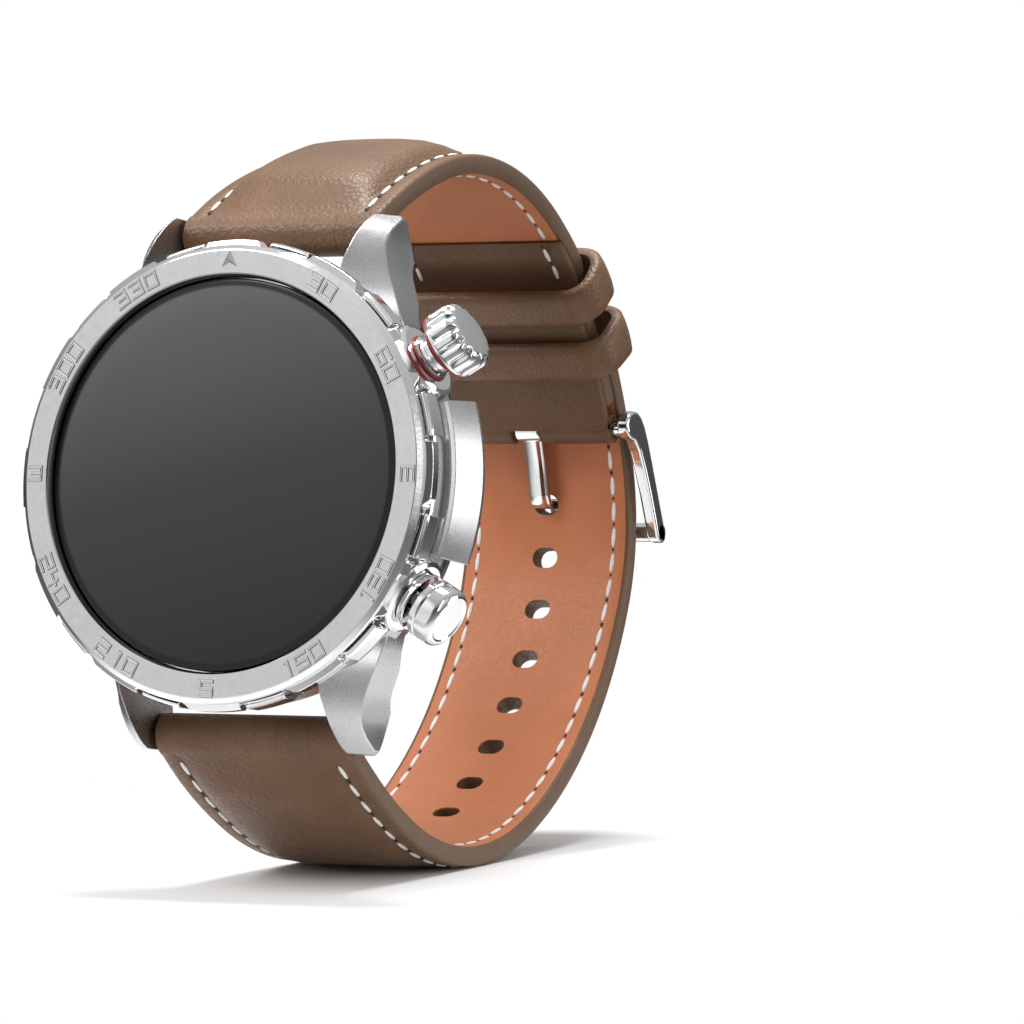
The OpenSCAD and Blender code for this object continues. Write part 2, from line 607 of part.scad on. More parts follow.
// One stitch at path length s, on the outer face or on the lining.
module stitch_at(s, out) for (side_x = [-1, 1])
  stitch(loop_point(angle_at(s), out ? 0.03 : -strap_t - 0.03), angle_at(s),
         side_x * (half_at(loop_point(angle_at(s))) - edge_margin), out);
lug_s = arc_len(0) + arc_len(1) + arc_len(2) + arc_len(3);
flap_s = arc_len(0) + arc_len(1) + 1;
module upper_stitching() color("white") {
  for (s = [lug_s - 3 : -stitch_pitch : flap_s]) stitch_at(s, true);
  for (s = [lug_s - 6 : -stitch_pitch : flap_s + 4.5]) stitch_at(s, false);
}
module lower_stitching() color("white") {
  for (s = [lug_s - 3 : -stitch_pitch : nose_r - 3 - tail_s]) stitch_at(-s, true);
  for (s = [lug_s - 6 : -stitch_pitch : -arc_len(0)]) stitch_at(-s, false);
}

// ---- keepers: rounded leather loops, swept about the hub so that the free one can slide round it ----
keeper_half = keeper_l / 2 / hub_r * 180 / PI;
keeper_r1 = hub_r + keeper_gap;
keeper_w = tail_w + 2;
module keeper(a, r0) side() translate([hub[0], hub[1], 0]) rotate([0, 0, a - keeper_half])
  rotate_extrude(angle = 2 * keeper_half) translate([(r0 + keeper_r1) / 2, 0]) difference() {
    rounded(keeper_r1 - r0 + 2 * keeper_t, keeper_w + 2 * keeper_t, 2.4);
    rounded(keeper_r1 - r0, keeper_w, 1.2);
  }
// The fixed keeper's inner side is sewn to the flap where that starts to rise, the free one runs clear of it.
flap_r = inner_r - strap_t - flap_t;
flap_rise = 0.22;
module fixed_keeper() color("saddlebrown") keeper(keeper1_angle, flap_r + flap_rise);
module free_keeper() color("saddlebrown") keeper(keeper2_angle, flap_r - keeper_gap);

// ---- buckle ----
module buckle_bar() color("silver") pin_x(bar_pos, buckle_bar_d / 2, -buckle_half - arm_t + 0.2,
  buckle_half + arm_t - 0.2);
arm_outline = [[bar_pos[0] - 1.3, bar_pos[1] + 0.6], [bar_pos[0] - 0.4, bar_pos[1] + 1.6],
  [bar_pos[0] + 1.2, bar_pos[1] + 2.0], [bar_pos[0] + 3.2, bar_pos[1] + 0.8],
  [bar_pos[0] + 6.4, bar_pos[1] - 4.6], [cross_pos[0] + 0.9, cross_pos[1] + 1.5],
  [cross_pos[0] + 0.9, cross_pos[1] - 0.9], [cross_pos[0] - 0.9, cross_pos[1] - 0.9],
  [bar_pos[0] + 4.4, bar_pos[1] - 5.0], [bar_pos[0] + 1.4, bar_pos[1] - 0.9],
  [bar_pos[0] - 0.4, bar_pos[1] - 1.2]];
module buckle_frame() color("silver") difference() {
  union() {
    for (s = [-1, 1]) side() translate([0, 0, s * (buckle_half + arm_t / 2)]) across(arm_t / 2)
      polygon(arm_outline);
    pin_x(cross_pos, cross_r, -buckle_half - arm_t, buckle_half + arm_t);
  }
  pin_x(bar_pos, buckle_bar_d / 2 + 0.02, -40, 40);
}
// Prong: off the bar, down inside the tail, out through the first hole, then down onto the crossbar.
prong_a = angle_at(first_hole);
prong_in = loop_point(prong_a, -strap_t - 1.3);
prong_out = loop_point(prong_a, 0.9);
prong_tip = cross_pos + [-0.2, cross_r + 0.05];
module buckle_prong() color("silver") difference() {
  union() {
    pin_x(bar_pos, buckle_bar_d / 2 + 0.55, -prong_w / 2 - 0.3, prong_w / 2 + 0.3);
    side() across(prong_w / 2) polygon([bar_pos + [1.0, 0.2], bar_pos + [1.3, -1.2], prong_in + [-0.15, 1.6],
      prong_in + [0.7, 0.55], prong_out + [0, 0.55], prong_out + [0.9, -0.2], prong_tip + [0.8, 0.4],
      prong_tip + [0.7, 0], prong_tip, prong_out + [-0.1, -0.5], prong_in + [0, -0.5],
      prong_in + [-1.0, 0.4], prong_in + [-1.15, 1.5], bar_pos + [0.2, -1.3], bar_pos + [-0.6, -0.9]]);
  }
  pin_x(bar_pos, buckle_bar_d / 2 + 0.02, -20, 20);
}

placed() case_frame();
placed() bezel_ring();
placed() cover_glass();
placed() glass_gasket();
placed() display_panel();
placed() display_flex();
placed() inner_chassis();
placed() battery();
placed() main_board();
placed() shield_can();
placed() vibration_motor();
placed() antenna_strip();
placed() heart_rate_module();
placed() back_gasket();
placed() back_cover();
placed() sensor_window();
placed() charging_contacts();
placed() back_screws();
placed() crown_collar();
placed() crown_collar_ring();
placed() crown_knob();
placed() crown_knob_ring();
placed() crown_stem();
placed() crown_oring();
placed() crown_magnet();
placed() crown_push_plate();
placed() crown_sensor();
placed() crown_bracket();
placed() crown_switch();
placed() button_collar();
placed() button_cap();
placed() button_stem();
placed() button_oring();
placed() button_clip();
placed() button_bracket();
placed() button_switch();
placed() bar_tube(0);  // upper_bar_tube
placed() release_pin(0);  // upper_release_pin
placed() bar_spring(0);  // upper_bar_spring
placed() bar_tube(1);  // lower_bar_tube
placed() release_pin(1);  // lower_release_pin
placed() bar_spring(1);  // lower_bar_spring
placed() upper_leather();
placed() upper_lining();
placed() upper_padding();
placed() buckle_flap();
placed() upper_stitching();
placed() lower_leather();
placed() lower_lining();
placed() lower_padding();
placed() lower_stitching();
placed() fixed_keeper();
placed() free_keeper();
placed() buckle_frame();
placed() buckle_prong();
placed() buckle_bar();
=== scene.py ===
"""Looks of the round watch: polished case and bezel, stitched leather strap, buckle and studio."""
import math

import bmesh
import bpy
from mathutils import Matrix, Vector

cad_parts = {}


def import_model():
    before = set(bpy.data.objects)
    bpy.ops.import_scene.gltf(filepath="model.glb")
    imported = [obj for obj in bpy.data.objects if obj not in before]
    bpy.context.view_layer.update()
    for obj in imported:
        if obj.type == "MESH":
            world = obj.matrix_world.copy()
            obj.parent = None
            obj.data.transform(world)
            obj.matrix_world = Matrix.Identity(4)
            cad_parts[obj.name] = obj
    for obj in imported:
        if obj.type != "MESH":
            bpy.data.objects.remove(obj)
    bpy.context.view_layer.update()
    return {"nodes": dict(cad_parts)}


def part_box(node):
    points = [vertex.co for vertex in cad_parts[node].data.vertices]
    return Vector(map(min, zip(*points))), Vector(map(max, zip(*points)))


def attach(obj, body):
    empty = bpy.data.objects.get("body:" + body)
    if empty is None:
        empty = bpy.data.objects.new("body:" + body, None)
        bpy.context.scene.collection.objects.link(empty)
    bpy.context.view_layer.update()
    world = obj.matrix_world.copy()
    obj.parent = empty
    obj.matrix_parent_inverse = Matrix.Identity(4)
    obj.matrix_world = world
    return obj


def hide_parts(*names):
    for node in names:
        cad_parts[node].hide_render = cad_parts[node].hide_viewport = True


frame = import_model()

# The watchmaker's own frame: millimetres, x to 3 o'clock, y to 12 o'clock, z towards the eye.
bezel_low, bezel_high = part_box("bezel_ring")
DIAL = Vector(((bezel_low[0] + bezel_high[0]) / 2, bezel_low[1], (bezel_low[2] + bezel_high[2]) / 2))
MILLIMETRE = 0.001
TO_ROW = Matrix.Translation(DIAL) @ Matrix.Rotation(math.pi / 2, 4, "X") @ Matrix.Scale(MILLIMETRE, 4)


def as_mesh(bm, name):
    mesh = bpy.data.meshes.new(name)
    bm.to_mesh(mesh)
    bm.free()
    return mesh


def as_object(name, data):
    thing = bpy.data.objects.new(name, data)
    bpy.context.collection.objects.link(thing)
    return thing


# ---------------------------------------------------------------- camera
CAMERA_TURN = math.radians(27.92)
CAMERA_RISE = math.radians(-5.08)
CAMERA_ROLL = math.radians(2.88)
CAMERA_DISTANCE = 0.5696
CAMERA_AIM = Vector((0.03263, 0.0, -0.0037))
CAMERA_LENS = 210.94
SENSOR_WIDTH = 36


def make_camera():
    out = Vector((math.sin(CAMERA_TURN) * math.cos(CAMERA_RISE),
                  -math.cos(CAMERA_TURN) * math.cos(CAMERA_RISE), math.sin(CAMERA_RISE)))
    right = Vector((math.cos(CAMERA_TURN), math.sin(CAMERA_TURN), 0))
    up = right.cross(-out)
    tilted_right = right * math.cos(CAMERA_ROLL) + up * math.sin(CAMERA_ROLL)
    tilted_up = up * math.cos(CAMERA_ROLL) - right * math.sin(CAMERA_ROLL)
    data = bpy.data.cameras.new("camera")
    data.lens = CAMERA_LENS
    data.sensor_width = SENSOR_WIDTH
    camera = as_object("camera", data)
    turn = Matrix((tilted_right, tilted_up, out)).transposed().to_4x4()
    camera.matrix_world = Matrix.Translation(DIAL + CAMERA_AIM + out * CAMERA_DISTANCE) @ turn
    bpy.context.scene.camera = camera


make_camera()


# ---------------------------------------------------------------- finishes
def new_group(name, inputs, outputs):
    group = bpy.data.node_groups.new(name, "ShaderNodeTree")
    for label, kind, value in inputs:
        socket = group.interface.new_socket(label, in_out="INPUT", socket_type=kind)
        if value is not None:
            socket.default_value = value
    for label, kind in outputs:
        group.interface.new_socket(label, in_out="OUTPUT", socket_type=kind)
    return group, group.nodes.new("NodeGroupInput"), group.nodes.new("NodeGroupOutput")


def wire(tree, value, socket):
    """Links a socket to another one, or sets it to a plain value."""
    if isinstance(value, bpy.types.NodeSocket):
        tree.links.new(value, socket)
    else:
        socket.default_value = value


def new_node(tree, kind, **inputs):
    node = tree.nodes.new("ShaderNode" + kind)
    for label, value in inputs.items():
        wire(tree, value, node.inputs[label.replace("_", " ")])
    return node


def math_node(tree, operation, *values):
    node = new_node(tree, "Math")
    node.operation = operation
    for socket, value in zip(node.inputs, values):
        wire(tree, value, socket)
    return node.outputs[0]


def blend_of(tree, *parts):
    """The sum of several (socket, weight) pairs."""
    first, *others = [math_node(tree, "MULTIPLY", socket, weight) for socket, weight in parts]
    for other in others:
        first = math_node(tree, "ADD", first, other)
    return first


def noise_node(tree, vector, scale, detail=3.0, roughness=0.5):
    noise = new_node(tree, "TexNoise", Vector=vector, Scale=scale, Detail=detail, Roughness=roughness)
    return noise.outputs["Fac"]


def ramp_node(tree, source, stops):
    node = new_node(tree, "ValToRGB", Fac=source)
    while len(node.color_ramp.elements) < len(stops):
        node.color_ramp.elements.new(0.5)
    for element, (place, color) in zip(node.color_ramp.elements, stops):
        element.position = place
        element.color = (*color, 1)
    return node.outputs[0]


def build_hide_grain():
    """Pebbled skin: cells with soft creases, and broad patches of tone."""
    group, start, end = new_group("Hide grain", [
        ("Vector", "NodeSocketVector", None), ("Pebble", "NodeSocketFloat", 1800.0)], [
        ("Height", "NodeSocketFloat"), ("Tone", "NodeSocketFloat"), ("Crease", "NodeSocketFloat")])
    vector = start.outputs["Vector"]
    warp = new_node(group, "TexNoise", Vector=vector, Scale=900.0)
    bent = new_node(group, "MixRGB", Fac=0.0006, Color1=vector, Color2=warp.outputs["Color"])
    cells = new_node(group, "TexVoronoi", Vector=bent.outputs[0], Scale=start.outputs["Pebble"])
    fine = noise_node(group, vector, 4200.0, 2.0)
    patch = noise_node(group, vector, 120.0, 4.0, 0.6)
    wrinkle = noise_node(group, vector, 420.0)
    creases = cells.outputs["Distance"]
    wire(group, blend_of(group, (creases, -0.9), (fine, 0.35), (wrinkle, 0.8)), end.inputs["Height"])
    wire(group, blend_of(group, (patch, 0.75), (fine, 0.25)), end.inputs["Tone"])
    wire(group, creases, end.inputs["Crease"])
    return group


def build_brushing():
    """Fine lines drawn out along one direction, with a little unevenness."""
    group, start, end = new_group("Brushing", [
        ("Vector", "NodeSocketVector", None), ("Lines", "NodeSocketFloat", 6000.0),
        ("Stretch", "NodeSocketFloat", 0.02)], [
        ("Height", "NodeSocketFloat"), ("Tone", "NodeSocketFloat")])
    split = new_node(group, "SeparateXYZ", Vector=start.outputs["Vector"])
    drawn = math_node(group, "MULTIPLY", split.outputs[0], start.outputs["Stretch"])
    join = new_node(group, "CombineXYZ", X=drawn, Y=split.outputs[1], Z=split.outputs[2])
    lines = noise_node(group, join.outputs[0], start.outputs["Lines"], 2.0)
    cloud = noise_node(group, start.outputs["Vector"], 160.0)
    wire(group, lines, end.inputs["Height"])
    wire(group, blend_of(group, (lines, 0.6), (cloud, 0.4)), end.inputs["Tone"])
    return group


def build_specks():
    """Small uneven specks for moulded and coated surfaces."""
    group, start, end = new_group("Specks", [
        ("Vector", "NodeSocketVector", None), ("Size", "NodeSocketFloat", 3000.0)], [
        ("Height", "NodeSocketFloat"), ("Tone", "NodeSocketFloat")])
    fine = noise_node(group, start.outputs["Vector"], start.outputs["Size"], 2.0)
    broad = noise_node(group, start.outputs["Vector"], 220.0)
    wire(group, fine, end.inputs["Height"])
    wire(group, blend_of(group, (fine, 0.4), (broad, 0.6)), end.inputs["Tone"])
    return group


HIDE_GRAIN = build_hide_grain()
BRUSHING = build_brushing()
SPECKS = build_specks()

# The middle stretch of a noise's tone, where a finish goes from its darker to its lighter value.
TONE_LOW, TONE_HIGH = 0.3, 0.7
# How deep the marks in each kind of surface are, in metres.
BRUSHING_DEPTH, SPECK_DEPTH = 0.00002, 0.00003
SMOOTHEST = 0.02


class Finish:
    """A material in the making: its shader and an effect group, centred on the dial."""

    def __init__(self, name, group):
        self.material = bpy.data.materials.new(name)
        self.material.use_nodes = True
        self.tree = self.material.node_tree
        self.shader = self.tree.nodes["Principled BSDF"]
        coordinates = new_node(self.tree, "TexCoord").outputs["Object"]
        self.place = new_node(self.tree, "Mapping", Vector=coordinates, Location=-DIAL).outputs["Vector"]
        self.effect = self.tree.nodes.new("ShaderNodeGroup")
        self.effect.node_tree = group
        self.feed(Vector=self.place)

    def set(self, **values):
        for label, value in values.items():
            wire(self.tree, value, self.shader.inputs[label.replace("_", " ")])
        return self

    def feed(self, **values):
        for label, value in values.items():
            wire(self.tree, value, self.effect.inputs[label])
        return self

    def tint(self, source, low, high):
        return self.set(Base_Color=ramp_node(self.tree, source, [(TONE_LOW, low), (TONE_HIGH, high)]))

    def roughen(self, source, low, high):
        between = new_node(self.tree, "MapRange", Value=source, From_Min=TONE_LOW, From_Max=TONE_HIGH,
                           To_Min=low, To_Max=high)
        return self.set(Roughness=between.outputs[0])

    def bump(self, strength, distance):
        raised = new_node(self.tree, "Bump", Strength=strength, Distance=distance,
                          Height=self.effect.outputs["Height"])
        return self.set(Normal=raised.outputs[0])


def metal(name, low, high, rough, spread=0.06, lines=6000.0, stretch=0.02, bump=0.15):
    finish = Finish(name, BRUSHING).set(Metallic=1.0).feed(Lines=lines, Stretch=stretch)
    tone = finish.effect.outputs["Tone"]
    finish.tint(tone, low, high)
    finish.roughen(tone, max(SMOOTHEST, rough - spread), rough + spread)
    finish.bump(bump, BRUSHING_DEPTH)
    return finish.material


def moulded(name, low, high, rough, size=3000.0, bump=0.1, **sockets):
    finish = Finish(name, SPECKS).feed(Size=size).set(**sockets)
    tone = finish.effect.outputs["Tone"]
    finish.tint(tone, low, high)
    finish.roughen(tone, max(SMOOTHEST, rough - 0.05), rough + 0.05)
    finish.bump(bump, SPECK_DEPTH)
    return finish.material


def hide(name, low, high, rough, pebble, depth, sheen):
    finish = Finish(name, HIDE_GRAIN).feed(Pebble=pebble)
    finish.set(Specular_IOR_Level=0.42, Sheen_Weight=sheen, Sheen_Roughness=0.5)
    finish.tint(finish.effect.outputs["Tone"], low, high)
    finish.roughen(finish.effect.outputs["Crease"], rough, rough + 0.12)
    finish.bump(0.8, depth)
    return finish.material


SATIN_STEEL = metal("satin steel", (0.50, 0.50, 0.51), (0.57, 0.57, 0.58), 0.33, 0.03, 1600.0, 1.0, 0.02)
BRUSHED_STEEL = metal("brushed steel", (0.40, 0.40, 0.41), (0.56, 0.56, 0.57), 0.30, lines=7000.0)
POLISHED_STEEL = metal("polished steel", (0.78, 0.78, 0.79), (0.84, 0.84, 0.85), 0.09, 0.03, bump=0.02)
# Near-black steel that paints the shadow line round the bezel's figures.
PAINTED_SHADOW_STEEL = metal("painted shadow steel", (0.16, 0.16, 0.165), (0.22, 0.22, 0.225), 0.5)
CHROME = metal("chrome", (0.66, 0.66, 0.67), (0.74, 0.74, 0.75), 0.06, 0.02, bump=0.02)
INNER_STEEL = metal("inner steel", (0.40, 0.40, 0.40), (0.52, 0.52, 0.52), 0.35)
COPPER = metal("copper foil", (0.62, 0.33, 0.18), (0.72, 0.42, 0.25), 0.32)
GOLD = metal("gold plate", (0.75, 0.52, 0.2), (0.83, 0.6, 0.28), 0.18)
MAGNET = metal("magnet", (0.14, 0.14, 0.15), (0.2, 0.2, 0.21), 0.4)
RED_RING = moulded("red ring", (0.26, 0.016, 0.010), (0.34, 0.025, 0.015), 0.35)
SEAL = moulded("black seal", (0.012, 0.012, 0.012), (0.025, 0.025, 0.025), 0.6)
DARK_PLASTIC = moulded("dark plastic", (0.02, 0.02, 0.022), (0.035, 0.035, 0.037), 0.45)
BACK_COATING = moulded("back coating", (0.018, 0.018, 0.02), (0.03, 0.03, 0.032), 0.28, 4200.0)
BOARD = moulded("board lacquer", (0.01, 0.07, 0.03), (0.02, 0.12, 0.05), 0.3, 900.0)
CELL = moulded("battery wrap", (0.2, 0.2, 0.22), (0.28, 0.28, 0.3), 0.35)
FLEX = moulded("flex amber", (0.5, 0.2, 0.03), (0.62, 0.28, 0.06), 0.35)
SENSOR_GLASS = moulded("sensor glass", (0.004, 0.005, 0.012), (0.008, 0.01, 0.02), 0.06)
THREAD = moulded("waxed thread", (0.66, 0.65, 0.62), (0.82, 0.81, 0.78), 0.6, 9000.0, 0.6, Sheen_Weight=0.3)
# Near-black dots that paint the shadow inside each hole the needle made.
NEEDLE_HOLE_SHADOW = moulded("needle hole shadow", (0.02, 0.012, 0.008), (0.035, 0.022, 0.015), 0.8)
BROWN_LEATHER = hide("brown leather", (0.098, 0.045, 0.017), (0.158, 0.079, 0.034), 0.4, 2100.0, 9e-5, 0.04)
EDGE_PAINT = hide("painted edge", (0.100, 0.054, 0.028), (0.145, 0.083, 0.046), 0.5, 2600.0, 4e-5, 0.04)
FLAP_LEATHER = hide("folded leather", (0.09, 0.041, 0.016), (0.13, 0.063, 0.027), 0.46, 2100.0, 6e-5, 0.04)
TAN_LINING = hide("tan lining", (0.42, 0.135, 0.050), (0.50, 0.172, 0.070), 0.5, 2600.0, 3e-5, 0.05)


DISPLAY_RADIUS = 0.01845


def cover_glass_finish():
    """Dark glass: a border in black print round a display, with a painted reflection that pales towards its
    top and left.
    """
    finish = Finish("cover glass", SPECKS)
    tree = finish.tree
    split = new_node(tree, "SeparateXYZ", Vector=finish.place)
    # Painted reflection: the base colour lightens towards the top and left of the display, standing in for a
    # reflected light panel.
    reflection_slope = math_node(tree, "ADD", blend_of(tree, (split.outputs[2], 26.0), (split.outputs[0], -6.0)), 0.5)
    painted_reflection = ramp_node(tree, reflection_slope, [(0.0, (0.012, 0.012, 0.012)), (0.5, (0.036, 0.036, 0.036)),
                                    (1.0, (0.105, 0.105, 0.107))])
    flat = new_node(tree, "VectorMath")
    flat.operation = "MULTIPLY"
    flat.inputs[1].default_value = (1, 0, 1)
    wire(tree, finish.place, flat.inputs[0])
    length = new_node(tree, "VectorMath")
    length.operation = "LENGTH"
    wire(tree, flat.outputs[0], length.inputs[0])
    border = new_node(tree, "MapRange", Value=length.outputs["Value"], From_Min=DISPLAY_RADIUS,
                      From_Max=DISPLAY_RADIUS + 0.00025)
    # The black print laid over the painted reflection.
    print_over_reflection = new_node(tree, "MixRGB", Fac=border.outputs[0], Color1=painted_reflection,
                       Color2=(0.0025, 0.0025, 0.0025, 1))
    finish.set(Base_Color=print_over_reflection.outputs[0], Specular_IOR_Level=0.3)
    finish.roughen(finish.effect.outputs["Tone"], 0.16, 0.22)
    return finish.material


COVER_GLASS = cover_glass_finish()


# ---------------------------------------------------------------- workshop
MERGE = 0.0005


def smooth(bm, limit):
    """Shades the shape smooth, but for edges sharper than the limit in degrees."""
    for face in bm.faces:
        face.smooth = True
    for edge in bm.edges:
        edge.smooth = len(edge.link_faces) == 2 and edge.calc_face_angle(0) < math.radians(limit)
    return bm


def clean(bm, limit):
    bmesh.ops.remove_doubles(bm, verts=bm.verts[:], dist=MERGE)
    bmesh.ops.recalc_face_normals(bm, faces=bm.faces[:])
    return smooth(bm, limit)


def add(main, part, matrix=Matrix(), finish=None):
    """Puts a shape into a piece's mesh, with its place and its finish number."""
    part.transform(matrix)
    if matrix.determinant() < 0:
        bmesh.ops.reverse_faces(part, faces=part.faces[:])
    if finish is not None:
        for face in part.faces:
            face.material_index = finish
    mesh = as_mesh(part, "shape")
    main.from_mesh(mesh)
    bpy.data.meshes.remove(mesh)


def make(name, bm, finishes, body, replaced=()):
    """Turns a shape in the dial's frame into a finished piece that rides on a body."""
    bm.transform(TO_ROW)
    mesh = as_mesh(bm, name)
    for finish in finishes:
        mesh.materials.append(finish)
    piece = as_object(name, mesh)
    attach(piece, body)
    if replaced:
        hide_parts(*replaced)
    return piece


def lathe(profile, steps=144, closed=False, start=0.0, angle=360.0, limit=22):
    """Turns a profile of (radius, height) about z."""
    bm = bmesh.new()
    turn = Matrix.Rotation(math.radians(start), 3, "Z")
    verts = [bm.verts.new(turn @ Vector((r, 0, h))) for r, h in profile]
    pairs = list(zip(verts, verts[1:])) + ([(verts[-1], verts[0])] if closed else [])
    edges = [bm.edges.new(pair) for pair in pairs]
    full = abs(angle) >= 360
    bmesh.ops.spin(bm, geom=verts + edges, cent=(0, 0, 0), axis=(0, 0, 1), angle=math.radians(angle),
                   steps=steps, use_merge=full)
    if not full:
        bmesh.ops.holes_fill(bm, edges=bm.edges[:], sides=0)
    return clean(bm, limit)


def loft(rings, closed=False, limit=50):
    """Draws a ring of points out through all the others."""
    bm = bmesh.new()
    current = [bm.verts.new(point) for point in rings[0]]
    edges = [bm.edges.new((a, b)) for a, b in zip(current, current[1:] + current[:1])]
    for ring in rings[1:] + (rings[:1] if closed else []):
        out = bmesh.ops.extrude_edge_only(bm, edges=edges)["geom"]
        fresh = {tuple(v.co): v for v in out if isinstance(v, bmesh.types.BMVert)}
        kept = set(fresh.values())
        edges = [e for e in out if isinstance(e, bmesh.types.BMEdge) and set(e.verts) <= kept]
        current = [fresh[tuple(v.co)] for v in current]
        for vert, point in zip(current, ring):
            vert.co = point
    if not closed:
        bmesh.ops.holes_fill(bm, edges=bm.edges[:], sides=0)
    return clean(bm, limit)


def only_verts(geometry):
    return [item for item in geometry if isinstance(item, bmesh.types.BMVert)]


def plate(outline, thickness):
    """An outline of (x, y) points given a thickness along z."""
    bm = bmesh.new()
    face = bm.faces.new([bm.verts.new((x, y, 0)) for x, y in outline])
    out = bmesh.ops.extrude_face_region(bm, geom=[face])["geom"]
    bmesh.ops.translate(bm, vec=(0, 0, thickness), verts=only_verts(out))
    return clean(bm, 25)


def soften(bm, width, segments=2, limit=25):
    """Rounds the sharp edges; the flats beside them stay flat to the light."""
    smooth(bm, limit)
    edges = [e for e in bm.edges
             if len(e.link_faces) == 2 and e.calc_face_angle(0) > math.radians(limit)]
    rounds = set(bmesh.ops.bevel(bm, geom=edges, offset=width, segments=segments, profile=0.5, affect="EDGES",
                                 material=-1, clamp_overlap=True)["faces"])
    for face in rounds:
        face.smooth = True
        for edge in face.edges:
            edge.smooth = all(f in rounds for f in edge.link_faces)
    return bm


def polar(radius, angle):
    return radius * math.cos(math.radians(angle)), radius * math.sin(math.radians(angle))


ALONG_X = Matrix.Rotation(math.pi / 2, 4, "Y")
# Crown and button stick out of the case at these angles from 3 o'clock, with both axes at one depth.
CROWN_ANGLE, BUTTON_ANGLE, AXIS_DEPTH = 30, -30, 4.6


def radial(angle):
    """From a part turned about z to one that sticks out of the case at an angle from 3 o'clock."""
    return Matrix.Rotation(math.radians(angle), 4, "Z") @ Matrix.Translation((0, 0, -AXIS_DEPTH)) @ ALONG_X


def across_strap(y, depth):
    """From a part turned about z to one that lies across the strap."""
    return Matrix.Translation((0, y, -depth)) @ ALONG_X


# ---------------------------------------------------------------- bezel
BEZEL_RADIUS, LAND_RADIUS, BEZEL_DEPTH = 22.6, 23.2, 2.4
LANDS = 12
ROUND_STEPS = 240


def bezel():
    bm = bmesh.new()
    face = lathe([(19.42, -BEZEL_DEPTH), (19.42, -0.95), (19.46, -0.72), (19.66, -0.1), (19.78, -0.01),
                  (21.98, 0.0), (22.08, -0.04), (22.5, -0.42), (BEZEL_RADIUS, -0.6), (BEZEL_RADIUS, -1.0),
                  (22.25, -1.1), (22.25, -BEZEL_DEPTH)], ROUND_STEPS, closed=True, limit=8)
    for f in face.faces:
        centre = f.calc_center_median()
        f.material_index = 0 if 19.76 < centre.xy.length < 21.99 and centre.z > -0.2 else 1
    add(bm, face)
    # Each land: a round rim, an S curve down at one end and a square step at the other.
    outline = [(LAND_RADIUS, a) for a in (8.1, 6.4, 4.8, 3.2, 1.6, 0, -1.6, -3.2, -4.6, -5.6)]
    outline += [(23.05, -6.4), (22.78, -7.1), (22.6, -7.9), (22.55, -8.5)]
    outline += [(22.1, -8.5), (22.1, 8.5), (22.75, 8.5), (22.75, 8.1)]
    for i in range(LANDS):
        middle = 360.0 / LANDS * i
        land = plate([polar(radius, middle + angle) for radius, angle in outline], 1.75)
        for vert in land.verts:
            if vert.co.z > 1 and vert.co.xy.length > 22.65:
                vert.co.z -= (vert.co.xy.length - 22.55) * 0.9
        add(bm, soften(land, 0.09), Matrix.Translation((0, 0, -BEZEL_DEPTH)), 1)
    return make("bezel", bm, [SATIN_STEEL, POLISHED_STEEL], "watch", ["bezel_ring"])


# Wide square figures on a grid of cells, read from the top row down.
FIGURES = {
    "0": ("11111", "10001", "10001", "10001", "11111"),
    "1": ("00110", "00010", "00010", "00010", "00010"),
    "2": ("11111", "00001", "11111", "10000", "11111"),
    "3": ("11111", "00001", "01111", "00001", "11111"),
    "4": ("10000", "10010", "11111", "00010", "00010"),
    "5": ("11111", "10000", "11111", "00001", "11111"),
    "6": ("11111", "10000", "11111", "10001", "11111"),
    "E": ("11111", "10000", "11111", "10000", "11111"),
    "S": ("11111", "10000", "11111", "00001", "11111"),
    "W": ("10001", "10101", "10101", "10101", "11111"),
}
CELL_WIDE, CELL_HIGH = 0.32, 0.345
FIGURE_RADIUS, FIGURE_PITCH = 21.05, 1.86
# Widths of the painted shadow line and of the raised rim, and how far the rim stands proud.
SHADOW_LINE, RAISED_RIM, RIM_RISE = 0.05, 0.065, 0.09


def figure(character):
    """A flat figure with a line of painted shadow in near-black steel round it and, inside that, a rim that
    stands a little proud.
    """
    bm = bmesh.new()
    for row_number, cells in enumerate(FIGURES[character]):
        for column, cell in enumerate(cells):
            if cell == "1":
                corners = [((column - 2.5 + a) * CELL_WIDE, (2.5 - row_number - b) * CELL_HIGH, 0)
                           for a, b in ((0, 1), (1, 1), (1, 0), (0, 0))]
                bm.faces.new([bm.verts.new(c) for c in corners])
    bmesh.ops.remove_doubles(bm, verts=bm.verts[:], dist=0.01)
    bmesh.ops.recalc_face_normals(bm, faces=bm.faces[:])
    for thickness, rise in ((SHADOW_LINE, 0.0), (RAISED_RIM, RIM_RISE)):
        core = [f for f in bm.faces if f.material_index == 0]
        rim = bmesh.ops.inset_region(bm, faces=core, thickness=thickness, use_even_offset=True,
                                     use_boundary=True)["faces"]
        for face in rim:
            # The flat outer ring gets finish 2, the painted shadow line; the raised rim gets finish 1.
            face.material_index = 1 if rise else 2
        if rise:
            out = bmesh.ops.extrude_face_region(bm, geom=rim)["geom"]
            bmesh.ops.translate(bm, vec=(0, 0, rise), verts=only_verts(out))
    for face in bm.faces:
        if face.normal.z < -0.5:
            face.normal_flip()
    return smooth(bm, 20)


